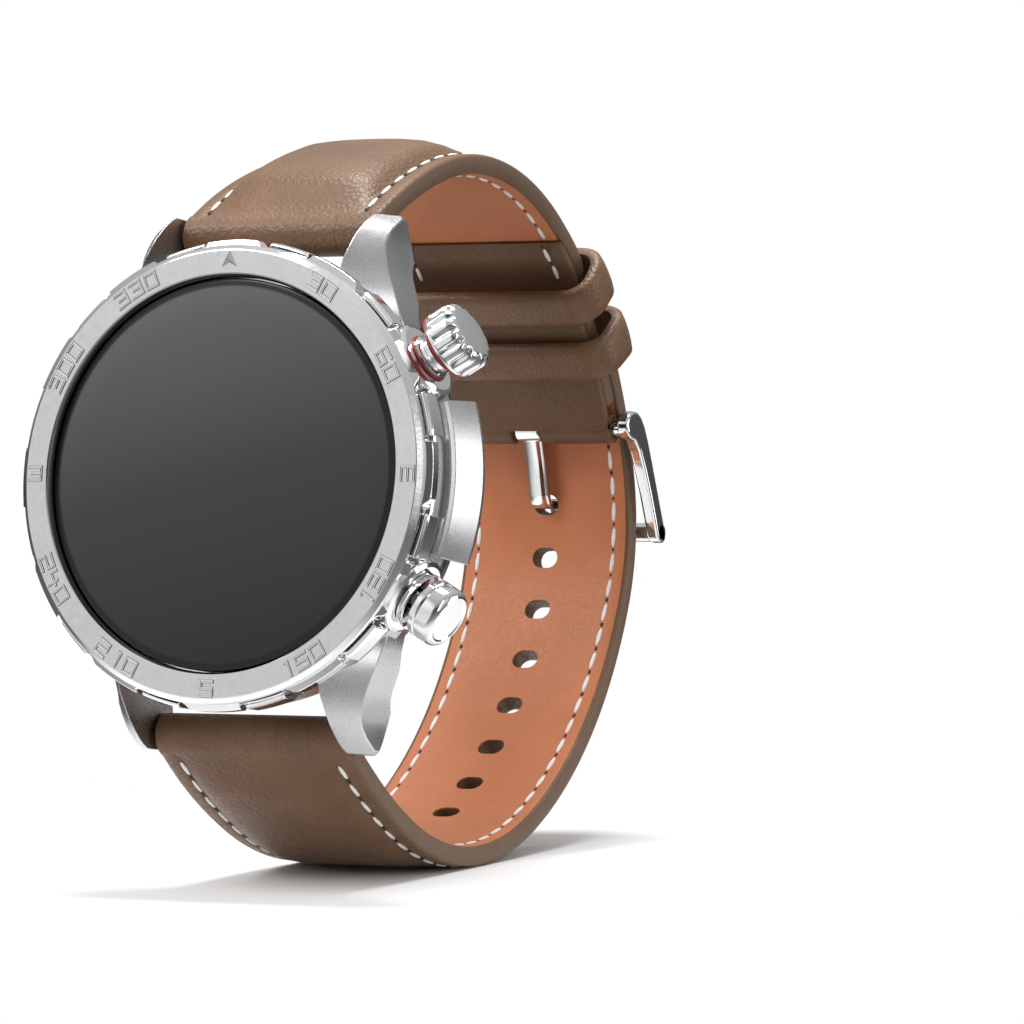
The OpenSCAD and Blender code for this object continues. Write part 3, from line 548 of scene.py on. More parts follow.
def bezel_figures():
    """Degrees and compass letters that read from outside on the lower half, and an arrow at 12 o'clock."""
    bm = bmesh.new()
    for i, text in enumerate(["", "30", "60", "E", "120", "150", "S", "210", "240", "W", "300", "330"]):
        angle = 90 - 30 * i
        inward = 4 <= i <= 8
        for k, character in enumerate(text):
            place = (k - (len(text) - 1) / 2) * FIGURE_PITCH / FIGURE_RADIUS
            turn = math.radians(angle) + (place if inward else -place)
            spin = turn + (math.pi / 2 if inward else -math.pi / 2)
            spot = (FIGURE_RADIUS * math.cos(turn), FIGURE_RADIUS * math.sin(turn), 0.012)
            add(bm, figure(character), Matrix.Translation(spot) @ Matrix.Rotation(spin, 4, "Z"))
    arrow = bmesh.new()
    tip, left, notch, right = [arrow.verts.new(p) for p in (
        (0, 22.0, 0), (-0.9, 20.3, 0), (0, 20.75, 0), (0.9, 20.3, 0))]
    ridge = arrow.verts.new((0, 21.1, 0.2))
    for trio in ((tip, left, ridge), (left, notch, ridge), (notch, right, ridge), (right, tip, ridge)):
        arrow.faces.new(trio)
    bmesh.ops.recalc_face_normals(arrow, faces=arrow.faces[:])
    add(bm, smooth(arrow, 10), finish=1)
    return make("bezel_figures", bm, [SATIN_STEEL, POLISHED_STEEL, PAINTED_SHADOW_STEEL], "watch")


bezel()
bezel_figures()


# ---------------------------------------------------------------- case
# One lug as stations up the dial: height, inner front depth, outer x, outer front depth, back depth.
LUG = [(13.0, 3.2, 16.2, 7.2, 10.3), (14.8, 2.8, 16.35, 6.6, 10.35), (16.4, 2.3, 15.85, 6.35, 10.7),
       (18.0, 1.95, 15.25, 6.45, 11.6), (19.2, 1.85, 14.75, 6.55, 11.85), (20.4, 2.0, 14.3, 6.55, 11.95),
       (21.3, 2.35, 14.0, 6.5, 12.3), (22.3, 3.15, 13.8, 6.5, 12.85), (23.2, 3.85, 13.6, 6.75, 12.85),
       (24.1, 4.65, 13.5, 7.3, 12.6), (25.0, 5.7, 13.5, 8.2, 12.2), (25.7, 6.6, 13.5, 9.3, 11.8),
       (26.2, 7.4, 13.45, 10.2, 11.5), (26.6, 8.3, 13.2, 10.4, 11.1)]


LUG_INSIDE = 11.3


def lug():
    rings = []
    for y, inner, outer_x, outer, back in LUG:
        rings.append([Vector((x, y, -d)) for x, d in (
            (LUG_INSIDE, inner), (outer_x, outer), (outer_x - 0.25, back), (LUG_INSIDE, back))])
    return soften(loft(rings), 0.12, 3, 28)


BLOCK_ANGLE, GUARD_ANGLE = 11, 38


def case():
    bm = bmesh.new()
    wall = lathe([(18.3, -2.42), (22.3, -2.42), (22.62, -2.6), (22.7, -2.9), (22.7, -4.9), (22.6, -5.15),
                  (22.35, -5.3), (22.2, -5.5), (22.2, -8.4), (22.05, -8.75), (21.5, -9.6), (21.3, -10.6),
                  (18.3, -10.6)], ROUND_STEPS, closed=True)
    for f in wall.faces:
        centre = f.calc_center_median()
        f.material_index = 1 if centre.z > -2.8 or -5.45 < centre.z < -4.95 or -9.6 < centre.z < -8.4 else 0
    add(bm, wall)
    # Polished blocks between the bezel's lands.
    for i in range(LANDS):
        between = lathe([(22.0, -2.5), (22.45, -1.45), (22.95, -1.15), (23.2, -1.55), (23.2, -3.6),
                         (22.75, -4.3), (22.0, -4.5)], 8, True, 30 * i + 15 - BLOCK_ANGLE / 2, BLOCK_ANGLE)
        add(bm, soften(between, 0.13, 2), finish=1)
    # The guard between crown and button.
    guard = lathe([(21.6, -4.7), (23.2, -4.75), (23.6, -5.1), (24.2, -7.4), (24.55, -9.0), (24.3, -9.8),
                   (23.6, -10.25), (21.6, -10.3)], 28, True, -GUARD_ANGLE / 2, GUARD_ANGLE)
    add(bm, soften(guard, 0.1, 3, 12), finish=0)
    for mirror_x in (1, -1):
        for mirror_y in (1, -1):
            add(bm, lug(), Matrix.Diagonal((mirror_x, mirror_y, 1, 1)), 0)
    # Cupped seats where crown and button leave the case.
    for angle in (CROWN_ANGLE, BUTTON_ANGLE):
        seat = lathe([(1.95, 22.0), (1.95, 23.15), (2.3, 23.3), (3.5, 23.3), (3.9, 23.1), (4.1, 22.5),
                      (4.1, 20.5)], 64)
        add(bm, seat, radial(angle), 1)
    return make("case", bm, [BRUSHED_STEEL, POLISHED_STEEL, SATIN_STEEL], "watch", ["case_frame"])


case()


def glass():
    bm = lathe([(0, -0.72), (16, -0.73), (19.0, -0.8), (19.25, -0.88), (19.32, -1.1), (19.32, -2.0),
                (0, -2.0)], 192)
    return make("dial_glass", bm, [COVER_GLASS], "watch", ["cover_glass"])


glass()


# ---------------------------------------------------------------- crown and button
CROWN_FLUTES, FLUTE_DEPTH, FLUTE_START = 14, 0.42, 0.35
# Distance of the crown's and the button's inner face from the dial's middle.
CROWN_FOOT, BUTTON_FOOT = 25.55, 24.8


def turned(name, shape, angle, finish, body, node):
    """A piece turned about the crown's or the button's axis."""
    bm = bmesh.new()
    add(bm, shape, radial(angle), 0)
    make(name, bm, [finish], body, [node])


def flute(knob):
    """Presses rounded flutes into the knob's side, fading in above its foot."""
    for vert in knob.verts:
        radius, height = vert.co.xy.length, vert.co.z - CROWN_FOOT
        if height > FLUTE_START and radius > 2.95:
            turn = math.atan2(vert.co.y, vert.co.x) * CROWN_FLUTES
            cut = max(0.0, math.cos(turn) - 0.1) ** 0.7
            depth = FLUTE_DEPTH * cut * min(1.0, (height - FLUTE_START) / 0.2)
            vert.co.xy *= (radius - depth) / radius
    return smooth(knob, 30)


def crown():
    profile = [(2.55, 1.3), (2.55, 0.0), (2.75, -0.06), (3.3, -0.06), (3.42, 0.06), (3.42, 0.3), (3.5, 0.4),
               (3.5, 0.9), (3.5, 1.5), (3.5, 2.0), (3.46, 2.3), (3.3, 2.62), (3.05, 2.9), (2.85, 3.02),
               (2.5, 3.08), (1.4, 3.13), (0, 3.14)]
    knob = flute(lathe([(r, CROWN_FOOT + h) for r, h in profile], CROWN_FLUTES * 10))
    turned("crown_cap", knob, CROWN_ANGLE, CHROME, "crown", "crown_knob")
    band = [(2.6, -0.2), (3.3, -0.22), (3.44, -0.16), (3.44, -0.06), (3.36, -0.02), (2.6, -0.02)]
    ring = lathe([(r, CROWN_FOOT + h) for r, h in band], 96, True)
    turned("crown_band", ring, CROWN_ANGLE, RED_RING, "crown", "crown_knob_ring")
    neck = lathe([(1.2, 21.0), (1.88, 21.0), (1.88, 23.3), (2.3, 23.34), (2.3, 23.8), (2.12, 23.95),
                  (2.12, 24.2), (2.3, 24.35), (2.3, 24.75), (2.2, 24.88), (1.25, 24.88), (1.2, 24.8)],
                 72, True)
    turned("crown_neck", neck, CROWN_ANGLE, CHROME, "watch", "crown_collar")
    ring = lathe([(2.31, 23.32), (2.44, 23.32), (2.5, 23.37), (2.5, 23.42), (2.44, 23.47), (2.31, 23.47)],
                 72, True)
    turned("crown_seat_ring", ring, CROWN_ANGLE, RED_RING, "watch", "crown_collar_ring")


def button():
    profile = [(0, 0.02), (2.6, 0.0), (2.95, 0.06), (3.03, 0.18), (3.03, 0.66), (2.96, 0.72), (2.86, 0.8),
               (2.96, 0.9), (3.04, 0.98), (3.04, 2.1), (2.98, 2.38), (2.82, 2.62), (2.62, 2.78), (2.5, 2.84),
               (2.3, 2.82), (2.15, 2.74), (0, 2.74)]
    head = lathe([(r, BUTTON_FOOT + h) for r, h in profile], 96)
    turned("button_head", head, BUTTON_ANGLE, CHROME, "button", "button_cap")
    sleeve = lathe([(1.2, 21.0), (1.88, 21.0), (1.88, 23.3), (2.75, 23.33), (2.92, 23.42), (2.92, 23.66),
                    (2.78, 23.74), (2.78, 23.82), (3.0, 23.9), (3.02, 24.1), (2.95, 24.24), (1.25, 24.24),
                    (1.2, 24.2)], 84, True)
    turned("button_sleeve", sleeve, BUTTON_ANGLE, CHROME, "watch", "button_collar")


crown()
button()


# ---------------------------------------------------------------- strap path
# The loop's outer face as tangent arcs of radius and end direction, in (depth, dial height).
BUCKLE_ARC, FLOOR_ARC = 44.0, 33.4
ARCS = [(24.0, (0.96, 0.28)), (BUCKLE_ARC, (0.6, 0.8)), (FLOOR_ARC, (-0.352, 0.936)), (54.2, (-0.6, 0.8))]
# Depth of the loop's back, and the thickness of the strap and of its folded end.
BACK = 71.85
THICK, FOLD = 2.1, 1.0
# Outer radius of the upper strap where it lies under the tail.
INNER = BUCKLE_ARC - THICK - 0.1


def arc_table():
    table, centre, start = [], Vector((BACK - ARCS[0][0], 0)), 0.0
    for i, (radius, direction) in enumerate(ARCS):
        if i:
            centre = centre + (ARCS[i - 1][0] - radius) * Vector(ARCS[i - 1][1])
        end = math.atan2(direction[1], direction[0])
        table.append((centre, radius, start, end))
        start = end
    return table


TABLE = arc_table()
HUB = TABLE[1][0]
BEND_TOP = TABLE[1][3]
BEND_LOW = math.radians(43.5)
LENGTHS = [radius * (end - start) for _, radius, start, end in TABLE]
BEND_START = LENGTHS[0] + LENGTHS[1]
LUG_END = sum(LENGTHS)


def on_loop(s):
    """Point and outward normal of the outer face at length s from the back's middle, up positive."""
    rest, sign = abs(s), 1 if s >= 0 else -1
    for (centre, radius, start, end), length in zip(TABLE, LENGTHS):
        if rest <= length or radius == ARCS[-1][0]:
            angle = start + rest / radius
            normal = Vector((math.cos(angle), math.sin(angle)))
            point = centre + radius * normal
            return Vector((point.x, sign * point.y)), Vector((normal.x, sign * normal.y))
        rest -= length


def on_bend(angle):
    """The upper strap where it dips under the tail, at an angle about the hub."""
    t = min(1.0, max(0.0, (BEND_TOP - angle) / (BEND_TOP - BEND_LOW)))
    normal = Vector((math.cos(angle), math.sin(angle)))
    return HUB + (BUCKLE_ARC - (BUCKLE_ARC - INNER) * t * t * (3 - 2 * t)) * normal, normal


def half_width(depth):
    """The strap tapers between two depths."""
    return 11.0 if depth < 14 else 10.0 if depth > 52 else 11.0 - (depth - 14) / 38


def placed(point, normal, x, t):
    """A point at x across the strap and t above its outer face."""
    spot = point + t * normal
    return Vector((x, spot.y, -spot.x))


def facing_out(normal):
    """Turns a shape's z to the outward normal and its y to run along the strap."""
    return Matrix.Rotation(math.atan2(-normal.y, -normal.x), 4, "X")


def ease(t):
    t = min(1.0, max(0.0, t))
    return t * t * (3 - 2 * t)


def swell(s, height):
    """How far the padding lifts the leather at length s from the back."""
    near = ease((LUG_END - 0.6 - abs(s)) / 5.0)
    far = ease((abs(s) - 54.0) / 12.0)
    return height * near * far


def leather_ring(point, normal, half, lift):
    """Cross-section of the brown shell: painted edges, a stitching groove and the padded crown."""
    rim = half - 0.02
    side = [(0.22, -THICK + 0.1), (0.04, -THICK + 0.28), (0, -THICK / 2), (0.03, -0.36), (0.16, -0.12),
            (0.45, -0.01), (1.2, 0.02), (1.62, -0.02), (1.86, -0.13), (2.1, -0.13)]
    padded = [(2.4, 0.1 * lift), (2.9, 0.38 * lift), (3.7, 0.68 * lift), (5.0, 0.88 * lift),
              (7.0, 0.97 * lift), (9.0, lift)]
    left = [(-rim + x, t) for x, t in side + padded]
    points = left + [(0.0, lift * 1.005)] + [(-x, t) for x, t in reversed(left)]
    points += [(half * 0.5, -THICK + 0.12), (-half * 0.5, -THICK + 0.12)]
    return [placed(point, normal, x, t) for x, t in points]


def lining_ring(point, normal, half):
    """Cross-section of the tan lining, a thin sheet let into the wrist side."""
    edge = half - 0.5
    left = [(-edge, 0.22), (-edge, 0.06), (-edge + 0.12, -0.02), (-edge * 0.85, -0.03), (-edge * 0.4, -0.03)]
    points = left + [(0, -0.03)] + [(-x, t) for x, t in reversed(left)]
    return [placed(point, normal, x, -THICK + t) for x, t in points]


def steps(low, high, pitch):
    """Evenly spaced values from low to high, about a pitch apart."""
    count = max(2, round(abs(high - low) / pitch))
    return [low + (high - low) * i / count for i in range(count + 1)]


def mark_edges(bm):
    """Gives the painted edge's finish to the faces at the strap's rims."""
    for face in bm.faces:
        centre = face.calc_center_median()
        if abs(centre.x) > half_width(-centre.z) - 0.3:
            face.material_index = 1


def barrel(low, high, bore, radius, chamfer, segments):
    """A leather barrel from low to high along its axis, with rounded ends."""
    return lathe([(bore, low), (radius - chamfer, low), (radius, low + 0.15), (radius, high - 0.15),
                  (radius - chamfer, high), (bore, high)], segments, True)


BAR_DEPTH, BAR_HEIGHT = 11.1, 25.0
ROLL_BORE, ROLL_RADIUS = 1.0, 2.2
MIRROR_DOWN = Matrix.Diagonal((1, -1, 1, 1))


def roll():
    """The strap's end, wrapped round its spring bar, open for the release lever on the wrist side."""
    bm = bmesh.new()
    for low, high in ((-10.98, 3.0), (6.4, 10.98)):
        add(bm, barrel(low, high, ROLL_BORE, ROLL_RADIUS, 0.15, 48), across_strap(BAR_HEIGHT, BAR_DEPTH))
    front = lathe([(ROLL_BORE, 2.9), (ROLL_RADIUS, 2.9), (ROLL_RADIUS, 6.5), (ROLL_BORE, 6.5)],
                  32, True, 35, 290)
    add(bm, front, across_strap(BAR_HEIGHT, BAR_DEPTH))
    return bm


# Spacing of the strap's cross-sections along the loop, and in radians round the bend.
STATION_PITCH, BEND_PITCH = 1.3, 0.022
UPPER_SWELL, LOWER_SWELL = 1.95, 1.15


def upper_stations():
    rows = []
    for s in reversed(steps(BEND_START, LUG_END, STATION_PITCH)):
        point, normal = on_loop(s)
        rows.append((point, normal, swell(s, UPPER_SWELL)))
    for angle in steps(BEND_TOP, math.radians(29.5), BEND_PITCH)[1:]:
        rows.append((*on_bend(angle), 0.0))
    return rows


def upper_strap():
    rings = [leather_ring(p, n, half_width(p.x), lift) for p, n, lift in upper_stations()]
    shell = loft(rings)
    mark_edges(shell)
    bm = bmesh.new()
    add(bm, shell)
    add(bm, roll())
    piece = make("upper_strap", bm, [BROWN_LEATHER, EDGE_PAINT], "watch",
                 ["upper_leather", "upper_padding"])
    lining = loft([lining_ring(p, n, half_width(p.x)) for p, n, _ in upper_stations()[3:]])
    make("upper_strap_lining", lining, [TAN_LINING], "watch", ["upper_lining"])


BUCKLE_BAR = HUB + (INNER - (THICK + FOLD) / 2) * Vector(polar(1.0, 25.5))
FOLD_HALF, FOLD_SLOT_HALF = 9.95, 1.75


def flap():
    """The folded end that carries the buckle bar, laid back along the wrist side."""
    rows = [on_loop(s) for s in steps(BEND_START + 4.0, BEND_START, 1.0)]
    rows += [on_bend(angle) for angle in steps(BEND_TOP, math.radians(26.0), BEND_PITCH)[1:]]
    rings = []
    for i, (point, normal) in enumerate(rows):
        thin = 0.35 if i == 0 else 0.8 if i == 1 else 1.0
        low, high, half = -THICK - FOLD * thin, -THICK + 0.02, FOLD_HALF
        left = [(-half + 0.1, high), (-half, high - 0.2), (-half, low + 0.25), (-half + 0.2, low + 0.04),
                (-half + 0.6, low)]
        shape = left + [(0, low)] + [(-x, t) for x, t in reversed(left)]
        rings.append([placed(point, normal, x, t) for x, t in shape])
    bm = bmesh.new()
    add(bm, loft(rings))
    for low, high in ((-FOLD_HALF, -FOLD_SLOT_HALF), (FOLD_SLOT_HALF, FOLD_HALF)):
        add(bm, barrel(low, high, 0.85, 1.55, 0.15, 36), across_strap(BUCKLE_BAR.y, BUCKLE_BAR.x))
    make("buckle_fold", bm, [FLAP_LEATHER], "watch", ["buckle_flap"])


TAIL_TIP = LENGTHS[0] + BUCKLE_ARC * (math.radians(42) - TABLE[0][3])
NOSE_RADIUS = 12.0


def tail_half(s, half):
    """The tail's nose narrows on a round."""
    reach = s - (TAIL_TIP - NOSE_RADIUS)
    if reach <= 0:
        return half
    return max(0.9, min(half, math.sqrt(max(0.0, NOSE_RADIUS * NOSE_RADIUS - reach * reach))))


def lower_stations():
    low = steps(-LUG_END, TAIL_TIP - 6.5, STATION_PITCH)
    tip = [TAIL_TIP - d for d in (5.5, 4.6, 3.7, 2.9, 2.2, 1.6, 1.1, 0.7, 0.35, 0.1)]
    return [(s, *on_loop(s)) for s in low + tip]


def lower_strap():
    rings = []
    for s, point, normal in lower_stations():
        lift = swell(s, LOWER_SWELL) if s < 0 else 0
        rings.append(leather_ring(point, normal, tail_half(s, half_width(point.x)), lift))
    shell = loft(rings)
    mark_edges(shell)
    bm = bmesh.new()
    add(bm, shell)
    add(bm, roll(), MIRROR_DOWN)
    strap = make("lower_strap", bm, [BROWN_LEATHER, EDGE_PAINT], "watch",
                 ["lower_leather", "lower_padding"])
    rings = [lining_ring(p, n, tail_half(s, half_width(p.x))) for s, p, n in lower_stations()[3:]]
    lining = make("lower_strap_lining", loft(rings), [TAN_LINING], "watch", ["lower_lining"])
    return strap, lining


HOLE_PITCH, FIRST_HOLE, HOLE_COUNT = 6.3, 4.5, 8
HOLE_RADIUS, HOLE_STRETCH = 1.1, 0.4


def hole_punch():
    """Oval pegs that punch the buckle holes."""
    bm = bmesh.new()
    for i in range(HOLE_COUNT):
        point, normal = on_loop(FIRST_HOLE - i * HOLE_PITCH)
        peg = bmesh.new()
        bmesh.ops.create_cone(peg, cap_ends=True, segments=32, radius1=HOLE_RADIUS, radius2=HOLE_RADIUS,
                              depth=8)
        for vert in peg.verts:
            vert.co.x += math.copysign(HOLE_STRETCH, vert.co.x) if abs(vert.co.x) > 0.01 else 0
        add(bm, peg, Matrix.Translation((0, point.y, -point.x)) @ facing_out(normal))
    return bm


def punch(pieces):
    """Cuts the buckle holes, and keeps the cut meshes."""
    bm = hole_punch()
    bm.transform(TO_ROW)
    tool = as_object("punch", as_mesh(bm, "punch"))
    for piece in pieces:
        modifier = piece.modifiers.new("holes", "BOOLEAN")
        modifier.operation = "DIFFERENCE"
        modifier.solver = "EXACT"
        modifier.object = tool
        bpy.context.view_layer.update()
        cut = bpy.data.meshes.new_from_object(piece.evaluated_get(bpy.context.evaluated_depsgraph_get()))
        piece.modifiers.clear()
        piece.data = cut
    bpy.data.objects.remove(tool)


upper_strap()
flap()
punch(lower_strap())


# ---------------------------------------------------------------- stitching
STITCH_PITCH = 2.95
THREAD_BEAD = (0.25, 1.05, 0.15)
NEEDLE_DOT = (0.22, 0.3, 0.05)


def stitches(name, spots, replaced):
    """A thread bead for each spot of (point, normal, x, height), and ahead of it a dark dot of painted shadow
    where the needle went through.
    """
    threads, holes = bmesh.new(), bmesh.new()
    for point, normal, x, height in spots:
        bead = bmesh.new()
        bmesh.ops.create_uvsphere(bead, u_segments=8, v_segments=6, radius=1.0)
        for vert in bead.verts:
            vert.co.y = math.copysign(abs(vert.co.y) ** 0.7, vert.co.y)
        bmesh.ops.scale(bead, vec=THREAD_BEAD, verts=bead.verts[:])
        facing = facing_out(normal)
        spot = point + height * normal
        slant = Matrix.Rotation(0.05, 4, "Z")
        add(threads, smooth(bead, 80), Matrix.Translation((x, spot.y, -spot.x)) @ facing @ slant)
        # A dark dot of painted shadow where a needle went through the leather.
        dot = bmesh.new()
        bmesh.ops.create_uvsphere(dot, u_segments=8, v_segments=4, radius=1.0)
        bmesh.ops.scale(dot, vec=NEEDLE_DOT, verts=dot.verts[:])
        ahead = spot + Vector((-normal.y, normal.x)) * STITCH_PITCH / 2
        add(holes, smooth(dot, 80), Matrix.Translation((x, ahead.y, -ahead.x)) @ facing)
    make(name, threads, [THREAD], "watch", [replaced])
    make(name + "_hole_shadows", holes, [NEEDLE_HOLE_SHADOW], "watch")


def row(low, high, side, outside):
    """Spots of one row of stitches, on the outer leather or on the lining."""
    spots = []
    inset, height = (1.98, -0.02) if outside else (1.85, -THICK - 0.05)
    count = int(abs(high - low) / STITCH_PITCH)
    for i in range(count + 1):
        point, normal = on_loop(low + (high - low) * i / count)
        spots.append((point, normal, side * (half_width(point.x) - inset), height))
    return spots


# Where the rows start near the lugs, on the outer leather and on the lining.
OUTER_START, LINING_START = LUG_END - 2.6, LUG_END - 6


def sew():
    upper, lower = [], []
    for side in (-1, 1):
        upper += row(OUTER_START, BEND_START + 0.6, side, True)
        upper += row(LINING_START, BEND_START + 5.4, side, False)
        lower += row(-OUTER_START, TAIL_TIP - 9.5, side, True)
        lower += row(-LINING_START, LENGTHS[0] + 9, side, False)
        # Two stitches hold the folded end down at each side.
        for back in (2.7, -0.2):
            point, normal = on_loop(BEND_START + back)
            upper.append((point, normal, side * 8.15, -THICK - FOLD - 0.06))
    stitches("upper_thread", upper, "upper_stitching")
    stitches("lower_thread", lower, "lower_stitching")


sew()


# ---------------------------------------------------------------- keepers
KEEPER_THICK, KEEPER_HALF, KEEPER_CORNER = 1.3, 12.6, 3.3
CORNER_STEPS = 12


def keeper(name, angle, inner, body, node):
    """A closed leather loop: a rounded oblong path about the strap, swept with a soft oblong section."""
    low, outer = inner - KEEPER_THICK, BUCKLE_ARC + 0.35 + KEEPER_THICK
    half, corner = KEEPER_HALF, KEEPER_CORNER
    middle, tall = (low + outer) / 2, (outer - low) / 2
    path = []
    for cx, cy, begin in ((half - corner, tall - corner, 0), (-half + corner, tall - corner, 90),
                          (-half + corner, -tall + corner, 180), (half - corner, -tall + corner, 270)):
        for k in range(CORNER_STEPS + 1):
            turn = math.radians(begin + 90 * k / CORNER_STEPS)
            path.append((cx + corner * math.cos(turn), cy + corner * math.sin(turn), turn))
    section = [(-2.5, -0.9), (-2.42, -0.4), (-2.1, -0.08), (-1.2, 0.02), (0, 0.05), (1.2, 0.02), (2.1, -0.08),
               (2.42, -0.4), (2.5, -0.9), (2.35, -1.25), (0, -KEEPER_THICK), (-2.35, -1.25)]
    rings = []
    for x, radius, turn in path:
        ring = []
        for along, out in section:
            across = x + out * math.cos(turn)
            reach = middle + radius + out * math.sin(turn)
            swing = math.radians(angle) + along / BUCKLE_ARC
            spot = HUB + reach * Vector((math.cos(swing), math.sin(swing)))
            ring.append(Vector((across, spot.y, -spot.x)))
        rings.append(ring)
    make(name, loft(rings, closed=True, limit=60), [BROWN_LEATHER], body, [node])


keeper("sewn_keeper", 48.8, INNER - THICK - FOLD + 0.22, "watch", "fixed_keeper")
keeper("sliding_keeper", 38.9, INNER - THICK - FOLD - 0.35, "keeper_loop", "free_keeper")


# ---------------------------------------------------------------- buckle
# The buckle's cross rod behind the strap, as (depth, dial height).
CROSS = Vector((BACK + 1.35, 1.5))
ARM_THICK, ARM_INSIDE = 1.4, 10.8


def on_side(depth, y, x):
    """From a side view's (depth, dial height) to a point at x."""
    return Vector((x, y, -depth))


def buckle():
    bm = bmesh.new()
    outline = [(-1.3, 0.3), (-1.15, 1.0), (-0.6, 1.6), (0.2, 1.95), (1.2, 1.95), (2.1, 1.5), (3.0, 0.6),
               (4.0, -0.9), (5.2, -3.0), (6.4, -5.2), (7.6, -7.4), (8.6, -9.2), (9.15, -10.4), (9.2, -11.0),
               (8.7, -11.3), (7.7, -11.2), (7.2, -10.7), (6.3, -8.9), (5.0, -6.5), (3.6, -4.2), (2.2, -2.2),
               (1.0, -1.1), (0.0, -1.0), (-0.9, -0.6)]
    for side in (-1, 1):
        arm = plate([(BUCKLE_BAR.x + a, BUCKLE_BAR.y + b) for a, b in outline], ARM_THICK)
        for vert in arm.verts:
            across = vert.co.z
            vert.co = on_side(vert.co.x, vert.co.y, side * (ARM_INSIDE + across))
        bmesh.ops.recalc_face_normals(arm, faces=arm.faces[:])
        add(bm, soften(arm, 0.3, 4, 40))
    rod = lathe([(0, -12.2), (0.8, -12.2), (1.0, -12.0), (1.0, 12.0), (0.8, 12.2), (0, 12.2)], 40)
    add(bm, rod, across_strap(CROSS.y, CROSS.x))
    make("buckle_arms", bm, [CHROME], "buckle", ["buckle_frame"])


def prong():
    """A flat tongue: a ring on the bar, then a strip that dips and comes out through the strap."""
    bm = bmesh.new()
    add(bm, barrel(-1.4, 1.4, 0.8, 1.3, 0.15, 40), across_strap(BUCKLE_BAR.y, BUCKLE_BAR.x))
    point, normal = on_loop(FIRST_HOLE)
    inner = point - (THICK + 1.15) * normal
    outer = point + 0.75 * normal
    tip = CROSS + Vector((0.25, 1.2))
    top = BUCKLE_BAR + Vector((0.75, -1.0))
    spine = [top, top.lerp(inner, 0.3) + Vector((0.12, 0)), top.lerp(inner, 0.6) + Vector((0.1, 0)),
             inner + Vector((-0.42, 1.15)), inner + Vector((-0.2, 0.5)), inner + Vector((0.1, 0.12)),
             inner + 0.6 * normal, point - 0.9 * normal, point + 0.2 * normal, outer + Vector((0.2, -0.12)),
             outer + Vector((0.6, -0.7)), outer.lerp(tip, 0.65) + Vector((0.12, 0)), tip]
    half, thick = 1.1, 0.42
    shape = [(-half + 0.18, thick), (half - 0.18, thick), (half, thick - 0.15), (half, -thick + 0.15),
             (half - 0.18, -thick), (-half + 0.18, -thick), (-half, -thick + 0.15), (-half, thick - 0.15)]
    rings = []
    for i, spot in enumerate(spine):
        ahead = (spine[min(i + 1, len(spine) - 1)] - spine[max(i - 1, 0)]).normalized()
        across = Vector((-ahead.y, ahead.x))
        rings.append([on_side(*(spot + t * across), x) for x, t in shape])
    add(bm, loft(rings))
    make("buckle_tongue", bm, [CHROME], "prong", ["buckle_prong"])


buckle()
prong()


# ---------------------------------------------------------------- carried-over nodes
KEPT = [
    (SEAL, "glass_gasket back_gasket crown_oring button_oring"),
    (DARK_PLASTIC, "display_panel inner_chassis crown_sensor crown_switch button_switch"),
    (FLEX, "display_flex"), (CELL, "battery"), (BOARD, "main_board heart_rate_module"),
    (COPPER, "antenna_strip"), (BACK_COATING, "back_cover"), (SENSOR_GLASS, "sensor_window"),
    (GOLD, "charging_contacts"), (MAGNET, "crown_magnet"), (BRUSHED_STEEL, "upper_bar_tube lower_bar_tube"),
    (POLISHED_STEEL, "upper_release_pin lower_release_pin buckle_bar"),
    (INNER_STEEL, "shield_can vibration_motor back_screws crown_stem crown_push_plate crown_bracket "
                  "button_stem button_clip button_bracket upper_bar_spring lower_bar_spring"),
]
for finish, nodes in KEPT:
    for node in nodes.split():
        for place in frame["nodes"][node].material_slots:
            place.material = finish


# ---------------------------------------------------------------- studio
FLOOR_LEAN = math.radians(8.5)
FLOOR_SOLID, FLOOR_GONE = 0.035, 0.085


def floor():
    """A pale round of floor that fades out, tangent to the strap where the watch leans back on it."""
    centre, radius = TABLE[2][0], FLOOR_ARC
    touch = TO_ROW @ Vector((0, -centre.y - radius * math.cos(FLOOR_LEAN),
                             -centre.x - radius * math.sin(FLOOR_LEAN)))
    bm = bmesh.new()
    bmesh.ops.create_grid(bm, x_segments=2, y_segments=2, size=1.5)
    lean = Matrix.Rotation(FLOOR_LEAN, 4, "X")
    bm.transform(Matrix.Translation(touch - Vector((0, 0, 0.0001))) @ lean)
    mesh = as_mesh(bm, "floor")
    finish = bpy.data.materials.new("pale floor")
    finish.use_nodes = True
    tree = finish.node_tree
    distance = new_node(tree, "VectorMath")
    distance.operation = "DISTANCE"
    wire(tree, new_node(tree, "TexCoord").outputs["Object"], distance.inputs[0])
    wire(tree, touch, distance.inputs[1])
    fade = new_node(tree, "MapRange", Value=distance.outputs["Value"], From_Min=FLOOR_SOLID,
                    From_Max=FLOOR_GONE, To_Min=1.0, To_Max=0.0)
    fade.interpolation_type = "SMOOTHSTEP"
    shader = tree.nodes["Principled BSDF"]
    for label, value in (("Base Color", (0.86, 0.86, 0.86, 1)), ("Roughness", 0.7),
                         ("Specular IOR Level", 0.2), ("Alpha", fade.outputs[0])):
        wire(tree, value, shader.inputs[label])
    mesh.materials.append(finish)
    as_object("floor", mesh)


def lamp(name, place, aim, size, power):
    data = bpy.data.lights.new(name, "AREA")
    data.shape = "RECTANGLE"
    data.size, data.size_y = size
    data.energy = power
    light = as_object(name, data)
    light.location = place
    light.rotation_euler = (aim - place).to_track_quat("-Z", "Y").to_euler()


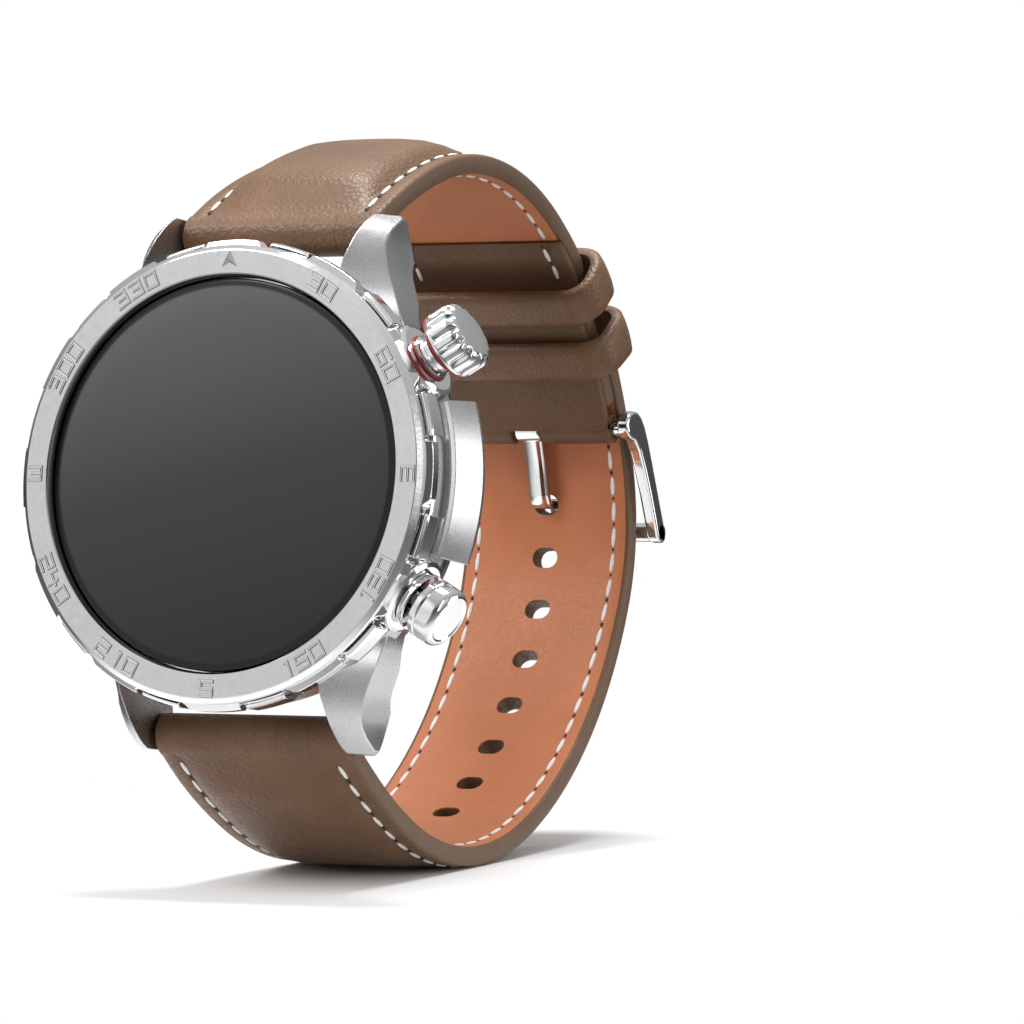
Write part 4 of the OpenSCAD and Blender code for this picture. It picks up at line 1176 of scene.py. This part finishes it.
def world():
    """White behind the object; in the reflections a dim room with one broad pale panel and a narrow one."""
    scene_world = bpy.data.worlds.new("studio")
    bpy.context.scene.world = scene_world
    scene_world.use_nodes = True
    tree = scene_world.node_tree
    tree.nodes.clear()
    direction = new_node(tree, "TexCoord").outputs["Generated"]

    def panel(towards, stops):
        """Light that depends on how near a reflection points towards a direction."""
        near = new_node(tree, "VectorMath")
        near.operation = "DOT_PRODUCT"
        wire(tree, direction, near.inputs[0])
        wire(tree, Vector(towards).normalized(), near.inputs[1])
        half = math_node(tree, "MULTIPLY", near.outputs["Value"], 0.5)
        return ramp_node(tree, math_node(tree, "ADD", half, 0.5), [(at, (grey,) * 3) for at, grey in stops])

    height = panel((0, 0, 1), [(0.0, 0.45), (0.40, 0.13), (0.53, 0.05), (0.67, 0.34), (1.0, 0.78)])
    broad = panel((-0.5, -0.86, 0.05), [(0.84, 0.0), (0.93, 0.85)])
    narrow = panel((0.96, -0.25, 0.1), [(0.94, 0.0), (0.97, 0.5)])
    total = math_node(tree, "ADD", math_node(tree, "ADD", height, broad), narrow)
    room = new_node(tree, "Background", Color=total)
    seen = new_node(tree, "Background", Color=(1, 1, 1, 1))
    mix = new_node(tree, "MixShader", Fac=new_node(tree, "LightPath").outputs["Is Camera Ray"])
    tree.links.new(room.outputs[0], mix.inputs[1])
    tree.links.new(seen.outputs[0], mix.inputs[2])
    tree.links.new(mix.outputs[0], tree.nodes.new("ShaderNodeOutputWorld").inputs[0])


floor()
world()
bpy.context.scene.view_settings.view_transform = "Standard"
middle = DIAL + Vector((0, 0.03, 0))
lamp("key", middle + Vector((-0.35, -0.45, 0.5)), middle, (0.35, 0.35), 3.2)
lamp("fill", middle + Vector((0.6, -0.35, 0.1)), middle, (0.1, 0.6), 0.8)
lamp("top", middle + Vector((0.0, 0.0, 0.6)), middle, (0.3, 0.2), 4.2)
lamp("inside", middle + Vector((0.5, 0.25, 0.05)), middle + Vector((0, 0.02, 0)), (0.3, 0.3), 0.9)
